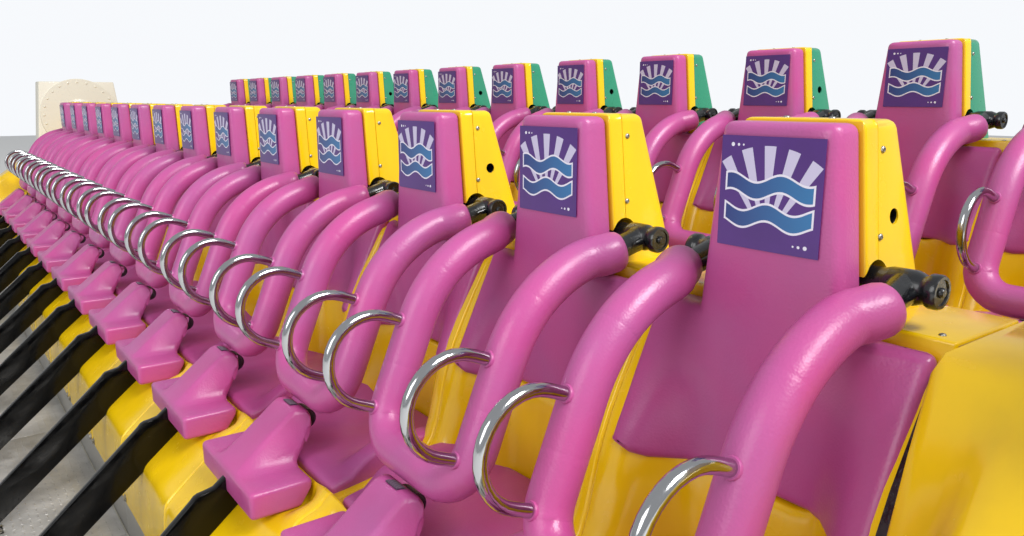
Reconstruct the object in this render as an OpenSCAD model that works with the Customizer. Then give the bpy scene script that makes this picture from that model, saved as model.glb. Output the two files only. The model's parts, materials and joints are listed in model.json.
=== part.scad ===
// Passenger gondola of a two-arm tumbling fairground ride.
// Two tiered rows of seats face the same way between two end hubs.
// Millimetres, +Z up, riders face -Y, the rows run along X.
// The origin is under the middle of the gondola, on the plane that it stands on.
// Every seat is drawn round its badge centre: x across, y to the back, z up.

/* [Rows] */
// Seats in each row
seats = 14; // [2:1:20]
// Distance from one seat to the next
pitch = 600; // [580:5:680]
// How far the rear row stands behind the front row
row_step_y = 1612; // [1612:4:1800]
// How far the rear row stands above the front row
row_step_z = 230; // [150:10:400]
// Height of the base beams, from the ground to the front deck
base_h = 200; // [160:10:260]
// Height of the badge centres above their deck
seat_up = 1385; // [1365:5:1400]

/* [Seats] */
// Half width of the head pad at its top
head_top = 115; // [90:1:130]
// Half width of the head pad at the shoulders
head_foot = 150; // [140:1:155]
// Top of the head pad above the badge centre
head_h = 112; // [90:1:140]
// Gap between the back pad and the ridges beside it
pad_gap = 3; // [2:1:10]
// Thickness of the head and back pads
pad_t = 75; // [60:1:80]
// Depth of the yellow head frame behind the pad
frame_t = 37; // [30:1:45]
// Height of the seat cushion
cushion_t = 75; // [50:1:90]
// Gap between the cushion and the ridges beside it
cushion_gap = 13; // [5:1:30]
// Width of the ridge between two seats
ridge_w = 34; // [24:2:50]
// Wall thickness of the seat shell
shell_t = 12; // [8:1:20]

/* [Restraints] */
// Height of the pivot below the badge centre
pivot_drop = 150; // [140:1:160]
// Distance of the pivot behind the pad front
pivot_back = 108; // [108:1:110]
// Radius of the foam-covered tubes
foam_r = 45; // [35:1:46]
// Distance of the tubes from the middle of the seat
leg_x = 192; // [188:1:200]
// Radius of the bright handle tube
grip_r = 13.5; // [10:0.5:16]
// Radius of the pivot shaft
shaft_r = 16; // [12:0.5:18]
// Clearance between the shaft and its sleeve
pin_gap = 0.3; // [0.1:0.05:0.5]
// Seam between two mouldings, panels or welded members
seam = 0.5; // [0.3:0.1:0.8]

/* [Ends] */
// Radius of the hub flange
hub_r = 300; // [280:5:340]
// Bolt circle diameter of the hub flange
hub_pcd = 520; // [480:5:560]
// Bolt holes in each hub flange
hub_bolts = 16; // [8:1:24]
// Radius of the hub bolt holes
hub_bolt_r = 13; // [8:0.5:16]
// Radius of the bore through the hub flange
hub_bore_r = 90; // [60:5:120]

/* [Hidden] */
$fn = 64;
RIDES = [for (row = ["f", "r"]) for (i = [1:seats]) str("restraint_", row, i < 10 ? "0" : "", i)];

// Colours
shell_yellow = "#f5cf12";
cover_teal = "#2f8f70";
foam_pink = "#c04a90";
bar_black = "#17181a";
bright_steel = "#c8ccd0";
plain_steel = "#8d9194";
cream = "#e3decd";
web_violet = "#3a1838";

// Heights below the badge centre, common to both rows
shoulder_z = -236;
rail_z = -215;
pad_foot_z = -556;
wing_foot_z = -540;
pan_z = -875;
slope_foot_z = -1010;
floor_z = -seat_up;
deck_t = 6;
foot_z = floor_z - deck_t;
// The kick plate ends above the deck, on a riser strip
riser_h = 135;
kick_foot_z = floor_z + riser_h;

// Depths from the badge plane
back_face_y = 42;
shell_back_y = 300;
slope_top_y = -540;
kick_top_y = -700;
kick_foot_y = -716;
deck_front_y = -1400;

// Row places: y and z of its badge centres
front_y = -(deck_front_y + shell_back_y + row_step_y) / 2;
badge_h = base_h + deck_t + seat_up;
rows = [[front_y, badge_h], [front_y + row_step_y, badge_h + row_step_z]];
row_half = seats * pitch / 2;
back_half = pitch / 2 - ridge_w / 2 - pad_gap;
cushion_half = pitch / 2 - ridge_w / 2 - cushion_gap;

function box_line(y0, y1, z0, z1) = [[y0, z0], [y1, z0], [y1, z1], [y0, z1]];

// Seat shell: outer line of its section, y and z
shell_line = [
  [pad_t, rail_z], [shell_back_y, rail_z], [shell_back_y, foot_z], [kick_foot_y, foot_z],
  [kick_foot_y, kick_foot_z], [kick_top_y, slope_foot_z], [slope_top_y, pan_z], [0, pan_z],
  [0, pad_foot_z], [pad_t, pad_foot_z]
];
// Inner corners of the shell where the slope meets the kick plate and the pan
slope_in = [kick_top_y + shell_t, slope_foot_z - shell_t / 2];
pan_in = [slope_top_y + shell_t / 3, pan_z - shell_t];
// Panels of the shell, each as y, z corners: rail, back, upper, ledge, lumbar, pan, slope and kick plate
panels = [
  box_line(pad_t, shell_back_y, rail_z - shell_t, rail_z),
  box_line(shell_back_y - shell_t, shell_back_y, foot_z, rail_z - shell_t - seam),
  box_line(pad_t, pad_t + shell_t, pad_foot_z + seam, rail_z - shell_t - seam),
  box_line(0, pad_t + shell_t, pad_foot_z - shell_t, pad_foot_z),
  box_line(0, shell_t, pan_z - shell_t, pad_foot_z - shell_t - seam),
  [[slope_top_y + seam, pan_z], [-seam, pan_z], [-seam, pan_z - shell_t], pan_in + [seam, 0]],
  [[slope_top_y, pan_z], pan_in, slope_in, [kick_top_y, slope_foot_z]],
  [[kick_top_y, slope_foot_z - seam], slope_in - [0, seam], [kick_foot_y + shell_t, kick_foot_z],
   [kick_foot_y, kick_foot_z]]
];
// Steel rib: it fills the section inside the panels
rib_line = [
  [pad_t + shell_t, rail_z - shell_t], [shell_back_y - shell_t, rail_z - shell_t],
  [shell_back_y - shell_t, foot_z], [kick_foot_y + shell_t, foot_z], [kick_foot_y + shell_t, kick_foot_z],
  slope_in - [0, seam], slope_in, pan_in,
  [shell_t, pan_z - shell_t], [shell_t, pad_foot_z - shell_t], [pad_t + shell_t, pad_foot_z - shell_t]
];
rib_w = 10;
// Holes through each rib: y, height above its foot, radius
rib_holes = [[-300, 240, 120], [120, 240, 90]];

// Ridge between two seats, y and z: beside the back pad, the lumbar panel and the pan
ridge_top_z = -262;
ridge_knee = [-150, -785];
ridge_low = -846;
ridge_parts = [
  [[pad_t - seam, ridge_top_z], [40, ridge_top_z], [-102, -532], [-108, pad_foot_z + seam],
   [pad_t - seam, pad_foot_z + seam]],
  [[-seam, pad_foot_z], [-108, pad_foot_z], ridge_knee, [-seam, ridge_knee[1]]],
  [[-seam, ridge_knee[1] - seam], [ridge_knee[0], ridge_knee[1] - seam], [slope_top_y + seam, ridge_low],
   [slope_top_y + seam, pan_z + seam], [-seam, pan_z + seam]]
];

// Side wing of the back pad: y and z
wing_line = [[pad_t, shoulder_z], [40, shoulder_z], [-95, -515], [-60, wing_foot_z], [pad_t, -545]];
wing_in = 205;

// Head housing
head_rim = 6;
head_side = 4;
head_foot_side = 3;
cover_top_y = 180;
cover_foot_y = 265;
// Head cover: side outline behind the frame, y and z
cover_line = [
  [pad_t + frame_t, head_h + head_rim], [cover_top_y, head_h + head_rim], [cover_foot_y, rail_z],
  [pad_t + frame_t, rail_z]
];
cut_r = 32;
sleeve_half = 105;
barrel_in = 110;
barrel_end = 250;
barrel_r = 27;
cap_r = 29;
cap_t = 8;
neck_r = 24;
ear_r = 14;
ear_in = 90;
ear_y = 163;
ear_z = -46;

// Cushion: side bolsters, y and z
bolster_in = 200;
bolster_line = [[-5, -805], [-5, -735], [-330, -745], [-380, -790], [-380, -805]];
cushion_front_y = -430;
cushion_back_y = -5;

// Leg pad: stem outline and cross bar outline, y and z
stem_line = [
  [-388, -702], [-398, -682], [-435, -666], [-556, -778], [-590, -790],
  [-606, -802], [-606, -862], [-592, pan_z], [-470, pan_z], [-446, -815]
];
bar_line = [
  [-450, -802], [-590, -790], [-606, -802], [-606, -862], [-592, pan_z], [-450, pan_z]
];
stem_half = 88;
wing_half = 195;

// Divider bar: foot plate, and side outline down to it, y and z
foot_l = 210;
foot_w = 70;
foot_t = 8;
strut_w = 24;
strut_top = [-632, -834];
strut_slope = 0.9;
strut_run = 140;
strut_foot = [strut_top[0] - (strut_top[1] - floor_z - foot_t - seam) / strut_slope, floor_z + foot_t + seam];
foot_back_y = strut_foot[0] + strut_run + (foot_l - strut_run) / 2;
strut_line = [[-606, -822], strut_top, strut_foot, strut_foot + [strut_run, 0], [-606, -946]];
belt_r = 28;
belt_t = 3;
belt_w = 42;
belt_y = -388;
belt_z = -716;

// Restraint centre line in the side view, y and z
pivot = [pivot_back, -pivot_drop];
bend_r = 300;
bend_in = [-48, -188];
start_angle = atan2(pivot[1] - bend_in[1], pivot[0] - bend_in[0]);
drop_angle = 67.8;
stub_l = 58;
stub_dir = [cos(start_angle), sin(start_angle)];
arm_start = bend_in + stub_l * stub_dir;
dome_cut = sqrt(foam_r * foam_r - neck_r * neck_r);
neck_end = arm_start + (dome_cut + seam) * stub_dir;
drop_dir = [-cos(drop_angle), -sin(drop_angle)];
grip_dir = [-sin(drop_angle), cos(drop_angle)];
bend_c = bend_in + bend_r * [sin(start_angle), -cos(start_angle)];
bend_out = bend_c + bend_r * grip_dir;
drop_l = 195;
drop_foot = bend_out + drop_l * drop_dir;
lap_r = 95;
grip_top = 15;
grip_gap = 213;
grip_reach = 86;
grip_x = 188;
grip_c = bend_out + (grip_top + grip_gap / 2) * drop_dir;

// Under-frame: beams along the rows, y of the front face, z of the bottom and top
tier_h = base_h + row_step_z;
beam_w = 100;
kick_back = beam_w / 2;
front_edge = front_y + deck_front_y;
front_kick = front_y + kick_foot_y;
shell_back = front_y + shell_back_y;
rear_kick = front_kick + row_step_y;
rear_edge = shell_back + row_step_y;
beams = [
  [front_edge, 0, base_h],
  [front_kick - kick_back, 0, base_h],
  [shell_back - beam_w, 0, base_h],
  [rear_kick - kick_back, 0, base_h],
  [rear_edge - beam_w, 0, base_h],
  [shell_back, tier_h - beam_w, tier_h],
  [rear_kick - kick_back, tier_h - beam_w, tier_h],
  [rear_edge - beam_w, tier_h - beam_w, tier_h]
];
// Cross members: number of the beam in front and of the beam behind
bays = [[0, 1], [1, 2], [2, 3], [3, 4], [5, 6], [6, 7]];
// Posts: number of the beam on top, and 1 where the post stands on a cross member
posts = [[5, 1], [6, 0], [7, 0]];
cross_n = 8;
cross_w = 80;
cross_inset = 40;

// Hub centre and end structure
hub_y = 0;
hub_z = badge_h - 15;
fair_in = row_half + ridge_w / 2;
fair_mid = row_half + 120;
fair_out = row_half + 400;
column_out = row_half + 640;
hub_face = row_half + 720;
// End fairings: low line beside the seat and high line outside, y and z
fair_top_z = -200;
fair_low = [
  [shell_back_y, fair_top_z], [-30, rail_z], [-120, -470], [-330, -740], [slope_top_y, ridge_low],
  [kick_top_y, slope_foot_z], [kick_foot_y, kick_foot_z], [kick_foot_y, foot_z], [shell_back_y, foot_z]
];
fair_high = [
  [shell_back_y, fair_top_z], [20, rail_z], [-225, -377], [-600, -640], [-700, -860],
  [kick_foot_y, kick_foot_z], [kick_foot_y, foot_z], [shell_back_y, foot_z]
];
// End column: half widths and heights of its neck and its shoulders
neck_half = 340;
neck_over = 330;
shoulder_half = 430;
shoulder_front_h = 1000;
shoulder_back_h = 1100;
column_line = [
  [front_edge, 0], [rear_edge, 0], [rear_edge, tier_h], [shoulder_half, shoulder_back_h],
  [neck_half, hub_z + neck_over], [-neck_half, hub_z + neck_over], [-shoulder_half, shoulder_front_h],
  [front_edge, base_h]
];

module side(line, x0, x1) {
  // Extrudes a y, z outline from x0 to x1
  translate([x0, 0, 0])
    rotate([90, 0, 90])
      linear_extrude(x1 - x0)
        polygon(line);
}

module face(line, y0, y1) {
  // Extrudes an x, z outline from y0 to y1
  translate([0, y1, 0])
    rotate([90, 0, 0])
      linear_extrude(y1 - y0)
        polygon(line);
}

module rod_x(r, x0, x1, y, z) {
  translate([x0, y, z])
    rotate([0, 90, 0])
      cylinder(r = r, h = x1 - x0);
}

module in_row(row) {
  translate([0, rows[row][0], rows[row][1]])
    children();
}

module at_seats(row) {
  for (i = [0:seats - 1])
    translate([(i - (seats - 1) / 2) * pitch, rows[row][0], rows[row][1]])
      children();
}

module seat_back_pad() {
  // Head pad, back pad and the two side wings in one moulding
  head = [[-head_top, head_h], [head_top, head_h], [head_foot, shoulder_z], [-head_foot, shoulder_z]];
  back = [[-back_half, shoulder_z], [back_half, shoulder_z], [back_half, wing_foot_z],
          [wing_in, pad_foot_z], [-wing_in, pad_foot_z], [-back_half, wing_foot_z]];
  face(head, 0, pad_t);
  face(back, back_face_y, pad_t);
  face([[-head_foot, shoulder_z], [head_foot, shoulder_z], [wing_in, pad_foot_z], [-wing_in, pad_foot_z]],
       0, pad_t);
  for (s = [0, 1])
    mirror([s, 0, 0])
      side(wing_line, wing_in, back_half);
}

module head_block(y0, y1) {
  rim = head_h + head_rim;
  top = head_top + head_side;
  low = head_foot + head_foot_side;
  face([[-top, rim], [top, rim], [low, rail_z], [-low, rail_z]], y0, y1);
}

module pivot_cut() {
  rod_x(cut_r, -head_foot - cut_r, head_foot + cut_r, pivot[0], pivot[1]);
}

module seat_head_frame() {
  difference() {
    head_block(pad_t, pad_t + frame_t);
    pivot_cut();
  }
}

module seat_head_cover(holed) {
  // Every second cover has a round hole in one side
  difference() {
    intersection() {
      head_block(pad_t + frame_t, shell_back_y);
      side(cover_line, -head_foot - cut_r, head_foot + cut_r);
    }
    pivot_cut();
    if (holed)
      rod_x(ear_r, ear_in, head_foot + cut_r, ear_y, ear_z);
  }
}

module seat_pivot() {
  // Bearing sleeve in the head, which the restraint's shaft turns in
  difference() {
    rod_x(cut_r, -sleeve_half, sleeve_half, pivot[0], pivot[1]);
    rod_x(shaft_r + pin_gap, -sleeve_half - 1, sleeve_half + 1, pivot[0], pivot[1]);
  }
}

module seat_cushion() {
  translate([-cushion_half, cushion_front_y, pan_z])
    cube([2 * cushion_half, cushion_back_y - cushion_front_y, cushion_t]);
  for (s = [0, 1])
    mirror([s, 0, 0])
      side(bolster_line, bolster_in, cushion_half);
}

module seat_leg_pad() {
  side(stem_line, -stem_half, stem_half);
  side(bar_line, -wing_half, wing_half);
}

module seat_divider_bar() {
  // Flat bar in two lengths: its head on the slope, and the rest down to the foot plate
  difference() {
    side(strut_line, -strut_w / 2, strut_w / 2);
    side(shell_line, -strut_w, strut_w);
    side(box_line(kick_top_y - seam, kick_top_y, foot_z, 0), -strut_w, strut_w);
  }
  translate([-foot_w / 2, foot_back_y - foot_l, floor_z])
    cube([foot_w, foot_l, foot_t]);
}

module seat_belt() {
  // Webbing loop that stands on the back of the leg pad stem
  difference() {
    rod_x(belt_r, -belt_w / 2, belt_w / 2, belt_y, belt_z);
    rod_x(belt_r - belt_t, -belt_w, belt_w, belt_y, belt_z);
    side(stem_line, -belt_w, belt_w);
  }
}

module row_shell(row) {
  // Panels along the row, and a ridge in sections at each seat's edge
  in_row(row) {
    for (line = panels)
      side(line, -row_half - ridge_w / 2, row_half + ridge_w / 2);
    for (i = [0:seats])
      for (line = ridge_parts)
        side(line, -row_half + i * pitch - ridge_w / 2, -row_half + i * pitch + ridge_w / 2);
  }
}

module row_frames(row) {
  // Steel ribs inside the shell, one at each seat's edge
  in_row(row)
    for (i = [0:seats]) {
      x = -row_half + i * pitch;
      difference() {
        side(rib_line, x - rib_w / 2, x + rib_w / 2);
        for (hole = rib_holes)
          rod_x(hole[2], x - rib_w, x + rib_w, hole[0], foot_z + hole[1]);
      }
    }
}

module tube(a, b, r) {
  // Round bar between two points
  d = b - a;
  l = norm(d);
  translate(a)
    rotate([0, acos(d[2] / l), atan2(d[1], d[0])])
      cylinder(r = r, h = l);
}

module leg_tube(a, b, r) {
  // Round bar between two places of the side view, in the plane of one leg
  tube([leg_x, a[0], a[1]], [leg_x, b[0], b[1]], r);
}

module along_stub(from) {
  // Frame at a place of the side view whose Z runs forward along the shoulder end of one foam tube
  translate([leg_x, from[0], from[1]])
    rotate([90 + start_angle, 0, 0])
      children();
}

module foam_stub() {
  // Shoulder end of the foam, with a dome that is cut flat where the neck meets it
  along_stub(arm_start)
    rotate_extrude()
      union() {
        square([foam_r, stub_l - seam]);
        intersection() {
          circle(r = foam_r);
          translate([0, -dome_cut])
            square([foam_r, dome_cut]);
        }
      }
}

module foam_bend() {
  // Shoulder bend of one foam tube, in the plane of the side view
  translate([leg_x, bend_c[0], bend_c[1]])
    rotate([90, 0, 90])
      rotate([0, 0, 90 + start_angle])
        rotate_extrude(angle = drop_angle - start_angle, $fn = 96)
          translate([bend_r, 0])
            circle(r = foam_r, $fn = 48);
}

module in_grip() {
  // Frame of one handle: its legs run along -Y, square to the drop of the tube
  translate([grip_x, grip_c[0], grip_c[1]])
    rotate([drop_angle - 90, 0, 0])
      children();
}

module foam_drop() {
  // Straight stretch of one foam tube
  leg_tube(bend_out + seam * drop_dir, drop_foot - seam * drop_dir, foam_r);
}

module foam_corner() {
  // One lower corner of the loop, in the plane of the lap
  translate([leg_x - lap_r, drop_foot[0], drop_foot[1]])
    rotate([drop_angle, 0, 0])
      rotate([0, 0, -90])
        rotate_extrude(angle = 90, $fn = 64)
          translate([lap_r, 0])
            circle(r = foam_r, $fn = 48);
}

module foam_lap() {
  // Tube across the lap, between the two corners
  lap = drop_foot + lap_r * drop_dir;
  half = leg_x - lap_r - seam;
  rod_x(foam_r, -half, half, lap[0], lap[1]);
}

module restraint_grip() {
  // Bent handle on the foam: two legs and a half round bow
  in_grip() {
    for (s = [-1, 1])
      translate([0, -foam_r - seam, s * grip_gap / 2])
        rotate([90, 0, 0])
          cylinder(r = grip_r, h = grip_reach - foam_r - seam, $fn = 32);
    translate([0, -grip_reach, 0])
      rotate([0, 90, 0])
        rotate([0, 0, 180])
          rotate_extrude(angle = 180, $fn = 64)
            translate([grip_gap / 2, 0])
              circle(r = grip_r, $fn = 32);
  }
}

module arm_rod(r, x0, x1) {
  rod_x(r, x0, x1 - seam, pivot[0], pivot[1]);
}

module restraint_arm() {
  // Cast arm in lengths along the pivot: inner barrel, block with the neck to the foam, outer barrel, cap
  block_in = leg_x - neck_r;
  block_out = leg_x + neck_r;
  arm_rod(barrel_r, barrel_in, block_in);
  along_stub(pivot)
    translate([-neck_r, -neck_r, -neck_r])
      cube([2 * neck_r - seam, 2 * neck_r, neck_r + norm(pivot - neck_end)]);
  arm_rod(barrel_r, block_out, barrel_end);
  arm_rod(cap_r, barrel_end, barrel_end + cap_t);
}

module restraint() {
  // Whole harness: the pivot shaft, two arms, the foam in sections and the two handles
  shaft_half = barrel_in - seam;
  color(plain_steel) rod_x(shaft_r, -shaft_half, shaft_half, pivot[0], pivot[1]);
  for (s = [0, 1])
    mirror([s, 0, 0]) {
      color(bar_black) restraint_arm();
      color(bright_steel) restraint_grip();
      color(foam_pink) foam_stub();
      color(foam_pink) foam_bend();
      color(foam_pink) foam_drop();
      color(foam_pink) foam_corner();
    }
  color(foam_pink) foam_lap();
}

module row_deck(y0, y1, z) {
  // Deck plate, and the riser strip behind it up to the kick plate
  translate([-fair_out, y0, z])
    cube([2 * fair_out, y1 - y0 - seam, deck_t]);
  translate([-fair_in, y1, z])
    cube([2 * fair_in, shell_t, deck_t + riser_h - seam]);
}

module underframe() {
  // Box beams along the rows, joined by cross members and posts
  color(cream) {
    for (b = beams)
      translate([-fair_out, b[0], b[1]])
        cube([2 * fair_out, beam_w, b[2] - b[1]]);
    for (i = [0:cross_n - 1])
      translate([-row_half + i * 2 * row_half / (cross_n - 1) - cross_w / 2, 0, 0]) {
        for (bay = bays) {
          front = beams[bay[0]];
          y0 = front[0] + beam_w + seam;
          drop = front[1] > 0 ? 0 : cross_inset;
          translate([0, y0, front[1] + drop])
            cube([cross_w, beams[bay[1]][0] - seam - y0, front[2] - front[1] - 2 * drop]);
        }
        for (post = posts) {
          beam = beams[post[0]];
          z0 = base_h - post[1] * cross_inset + seam;
          translate([0, beam[0] + seam, z0])
            cube([cross_w, beam_w - 2 * seam, beam[1] - seam - z0]);
        }
      }
  }
}

module row_fairings(row) {
  // Closed mouldings beyond the end seats, low beside the seat and high outside
  in_row(row)
    for (s = [0, 1])
      mirror([s, 0, 0]) {
        side(fair_low, fair_in, fair_mid);
        side(fair_high, fair_mid, fair_out);
      }
}

module end_frames() {
  // Box columns that carry the hubs, on sills across the gondola ends
  color(cream)
    for (s = [0, 1])
      mirror([s, 0, 0])
        side(column_line, fair_out, column_out);
}

module hub(s) {
  color(cream)
    mirror([s < 0 ? 1 : 0, 0, 0])
      difference() {
        rod_x(hub_r, column_out, hub_face, hub_y, hub_z);
        rod_x(hub_bore_r, column_out - 1, hub_face + 1, hub_y, hub_z);
        for (i = [0:hub_bolts - 1])
          rod_x(hub_bolt_r, column_out - 1, hub_face + 1,
                hub_y + hub_pcd / 2 * cos((i + 0.5) * 360 / hub_bolts),
                hub_z + hub_pcd / 2 * sin((i + 0.5) * 360 / hub_bolts));
      }
}

module front_deck() {
  color(bright_steel) row_deck(front_edge, front_kick, base_h);
}

module rear_deck() {
  color(bright_steel) row_deck(shell_back, rear_kick, tier_h);
}

module head_covers(row) {
  in_row(row)
    for (i = [0:seats - 1])
      translate([(i - (seats - 1) / 2) * pitch, 0, 0])
        seat_head_cover(i % 2 == 1);
}

underframe();
front_deck();
rear_deck();
color(shell_yellow) row_shell(0);  // front_shell
color(shell_yellow) row_shell(1);  // rear_shell
color(shell_yellow) row_fairings(0);  // front_end_fairings
color(shell_yellow) row_fairings(1);  // rear_end_fairings
color(plain_steel) row_frames(0);  // front_frames
color(plain_steel) row_frames(1);  // rear_frames
color(shell_yellow) at_seats(0) seat_head_frame();  // front_head_frames
color(shell_yellow) at_seats(1) seat_head_frame();  // rear_head_frames
color(shell_yellow) head_covers(0);  // front_head_covers
color(cover_teal) head_covers(1);  // rear_head_covers
color(foam_pink) at_seats(0) seat_back_pad();  // front_back_pads
color(foam_pink) at_seats(1) seat_back_pad();  // rear_back_pads
color(foam_pink) at_seats(0) seat_cushion();  // front_cushions
color(foam_pink) at_seats(1) seat_cushion();  // rear_cushions
color(foam_pink) at_seats(0) seat_leg_pad();  // front_leg_pads
color(foam_pink) at_seats(1) seat_leg_pad();  // rear_leg_pads
color(bar_black) at_seats(0) seat_divider_bar();  // front_divider_bars
color(bar_black) at_seats(1) seat_divider_bar();  // rear_divider_bars
color(plain_steel) at_seats(0) seat_pivot();  // front_pivots
color(plain_steel) at_seats(1) seat_pivot();  // rear_pivots
color(web_violet) at_seats(0) seat_belt();  // front_belts
color(web_violet) at_seats(1) seat_belt();  // rear_belts
end_frames();
hub(-1);  // left_hub
hub(1);  // right_hub
for (row = [0, 1])
  for (i = [0:seats - 1])
    translate([(i - (seats - 1) / 2) * pitch, rows[row][0], rows[row][1]])
        restraint();
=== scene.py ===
import json
import math

import bmesh
import bpy
from mathutils import Matrix, Vector


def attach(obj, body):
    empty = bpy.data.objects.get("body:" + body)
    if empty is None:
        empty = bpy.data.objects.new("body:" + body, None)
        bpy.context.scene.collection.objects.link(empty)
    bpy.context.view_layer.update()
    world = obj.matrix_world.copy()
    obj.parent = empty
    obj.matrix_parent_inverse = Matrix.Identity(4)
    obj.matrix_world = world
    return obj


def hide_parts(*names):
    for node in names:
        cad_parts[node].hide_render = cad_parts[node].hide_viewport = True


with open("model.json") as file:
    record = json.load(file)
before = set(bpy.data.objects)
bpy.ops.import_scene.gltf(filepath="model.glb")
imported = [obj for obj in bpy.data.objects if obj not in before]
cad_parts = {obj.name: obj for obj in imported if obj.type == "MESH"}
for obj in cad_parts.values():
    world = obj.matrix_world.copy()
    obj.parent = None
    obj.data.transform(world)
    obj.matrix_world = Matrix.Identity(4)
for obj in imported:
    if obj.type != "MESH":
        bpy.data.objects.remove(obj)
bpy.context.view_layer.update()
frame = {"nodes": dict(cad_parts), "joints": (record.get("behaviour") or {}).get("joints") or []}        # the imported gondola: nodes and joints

# One seat frame is used all through: x across, y to the back, z up, from the badge centre
gondola = {
    "rootBody": "gondola", "pivotFromBadge": Vector((0, 0.108, -0.150)),
    "seats": 14, "pitch": 0.600, "floor": -1.385, "halfEnd": 4.600,
}


def rowStart(letter):
    # Badge centre of the first seat of a row, from the joint of its restraint
    for joint in frame["joints"]:
        if joint["child"] == f"restraint_{letter}01":
            return Vector(joint["pos_m"]) - gondola["pivotFromBadge"]
    raise ValueError(letter)


rows = {"front": rowStart("f"), "rear": rowStart("r")}


def addObject(name, data):
    added = bpy.data.objects.new(name, data)
    bpy.context.scene.collection.objects.link(added)
    return added


# Colours and materials

def paint(hexText):
    # sRGB hex value to linear red, green, blue, alpha
    parts = [int(hexText[i:i + 2], 16) / 255 for i in (1, 3, 5)]
    return [c / 12.92 if c <= 0.04045 else ((c + 0.055) / 1.055) ** 2.4 for c in parts] + [1.0]


def addNode(tree, kind, settings=None, inputs=None):
    # An input is given as a value, or as the socket that feeds it
    node = tree.nodes.new(kind)
    for key, value in (settings or {}).items():
        setattr(node, key, value)
    for key, value in (inputs or {}).items():
        if isinstance(value, bpy.types.NodeSocket):
            tree.links.new(value, node.inputs[key])
        else:
            node.inputs[key].default_value = value
    return node


def newMaterial(name, base, roughness, metallic=0.0, ior=1.5, coat=0.0, coatRoughness=0.1):
    material = bpy.data.materials.new(name)
    material.use_nodes = True
    tree = material.node_tree
    shader = tree.nodes["Principled BSDF"]
    values = {"Base Color": paint(base), "Roughness": roughness, "Metallic": metallic,
              "Coat Weight": coat, "Coat Roughness": coatRoughness}
    if not metallic:
        values["IOR"] = ior
    for key, value in values.items():
        shader.inputs[key].default_value = value
    return material, tree, shader, addNode(tree, "ShaderNodeTexCoord").outputs["Object"]


def blotches(tree, place, sizeMm, detail=3.0, values=(0.0, 1.0), window=(0.0, 1.0), stretch=None):
    # Random blotches about sizeMm across; what lies in the window of the pattern is spread over the values
    if stretch:
        place = addNode(tree, "ShaderNodeMapping", inputs={"Vector": place, "Scale": stretch}).outputs[0]
    pattern = addNode(tree, "ShaderNodeTexNoise",
                      inputs={"Vector": place, "Scale": 1000.0 / sizeMm, "Detail": detail}).outputs["Fac"]
    if window == values:
        return pattern
    return addNode(tree, "ShaderNodeMapRange", inputs={
        "Value": pattern, "From Min": window[0], "From Max": window[1], "To Min": values[0],
        "To Max": values[1]}).outputs["Result"]


def dress(tree, shader, height, depthMm, colours=None, roughness=None, strength=1.0):
    # A bump of depthMm, a pattern of roughness, and two colours that a pattern mixes
    bump = addNode(tree, "ShaderNodeBump",
                   inputs={"Height": height, "Distance": depthMm / 1000.0, "Strength": strength})
    tree.links.new(bump.outputs["Normal"], shader.inputs["Normal"])
    if roughness is not None:
        tree.links.new(roughness, shader.inputs["Roughness"])
    if colours is not None:
        first, second, share = colours
        mix = addNode(tree, "ShaderNodeMix", {"data_type": "RGBA"},
                      {"Factor": share, 6: paint(first), 7: paint(second)})
        tree.links.new(mix.outputs[2], shader.inputs["Base Color"])


middle = (0.35, 0.65)    # window that holds most of a noise pattern


def skinnedFoam(name, base, faded, roughness):
    # Integral-skin polyurethane foam: moulded, with a fine leathery grain and sun-faded patches
    material, tree, shader, place = newMaterial(name, base, roughness, ior=1.48, coat=0.12, coatRoughness=0.25)
    grain = addNode(tree, "ShaderNodeTexVoronoi", {"feature": "SMOOTH_F1"},
                    {"Vector": place, "Scale": 1000.0 / 4.5, "Smoothness": 0.6})
    height = addNode(tree, "ShaderNodeMath", {"operation": "ADD"},
                     {0: grain.outputs["Distance"], 1: blotches(tree, place, 14, 4.0)})
    dress(tree, shader, height.outputs[0], 0.35,
          (base, faded, blotches(tree, place, 260, 4.0, window=middle)),
          blotches(tree, place, 90, 3.0, (roughness - 0.06, roughness + 0.08), middle))
    return material


def gelcoat(name, base, worn, roughness):
    # Glass-reinforced polyester with a gelcoat: smooth, slightly wavy, with dusty streaks
    material, tree, shader, place = newMaterial(name, base, roughness, coat=0.25, coatRoughness=0.12)
    streaks = blotches(tree, place, 120, 6.0, (0.0, 0.55), (0.45, 0.75), stretch=(1.0, 1.0, 0.25))
    dress(tree, shader, blotches(tree, place, 32, 2.0), 0.18, (base, worn, streaks),
          blotches(tree, place, 60, 5.0, (roughness - 0.06, roughness + 0.06), middle))
    return material


def enamel(name, base, chipped, roughness, waveMm=18, depthMm=0.3, shine=0.5):
    # Brushed or sprayed enamel on steel: glossy, with runs and small dull specks
    material, tree, shader, place = newMaterial(name, base, roughness, ior=1.52, coat=0.6 * shine,
                                                coatRoughness=0.05)
    shader.inputs["Specular IOR Level"].default_value = shine
    specks = blotches(tree, place, 9, 8.0, window=(0.66, 0.74))
    dress(tree, shader, blotches(tree, place, waveMm), depthMm, (base, chipped, specks),
          blotches(tree, place, 35, 5.0, (roughness - 0.05, roughness + 0.15), middle))
    return material


def bareMetal(name, base, roughness, grainMm, stretch):
    # Machined or polished metal with fine marks along one direction
    material, tree, shader, place = newMaterial(name, base, roughness, metallic=1.0)
    dress(tree, shader, blotches(tree, place, grainMm, 6.0, stretch=stretch), 0.05, strength=0.6,
          roughness=blotches(tree, place, grainMm, 6.0, (roughness - 0.03, roughness + 0.07), middle, stretch))
    return material


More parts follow.
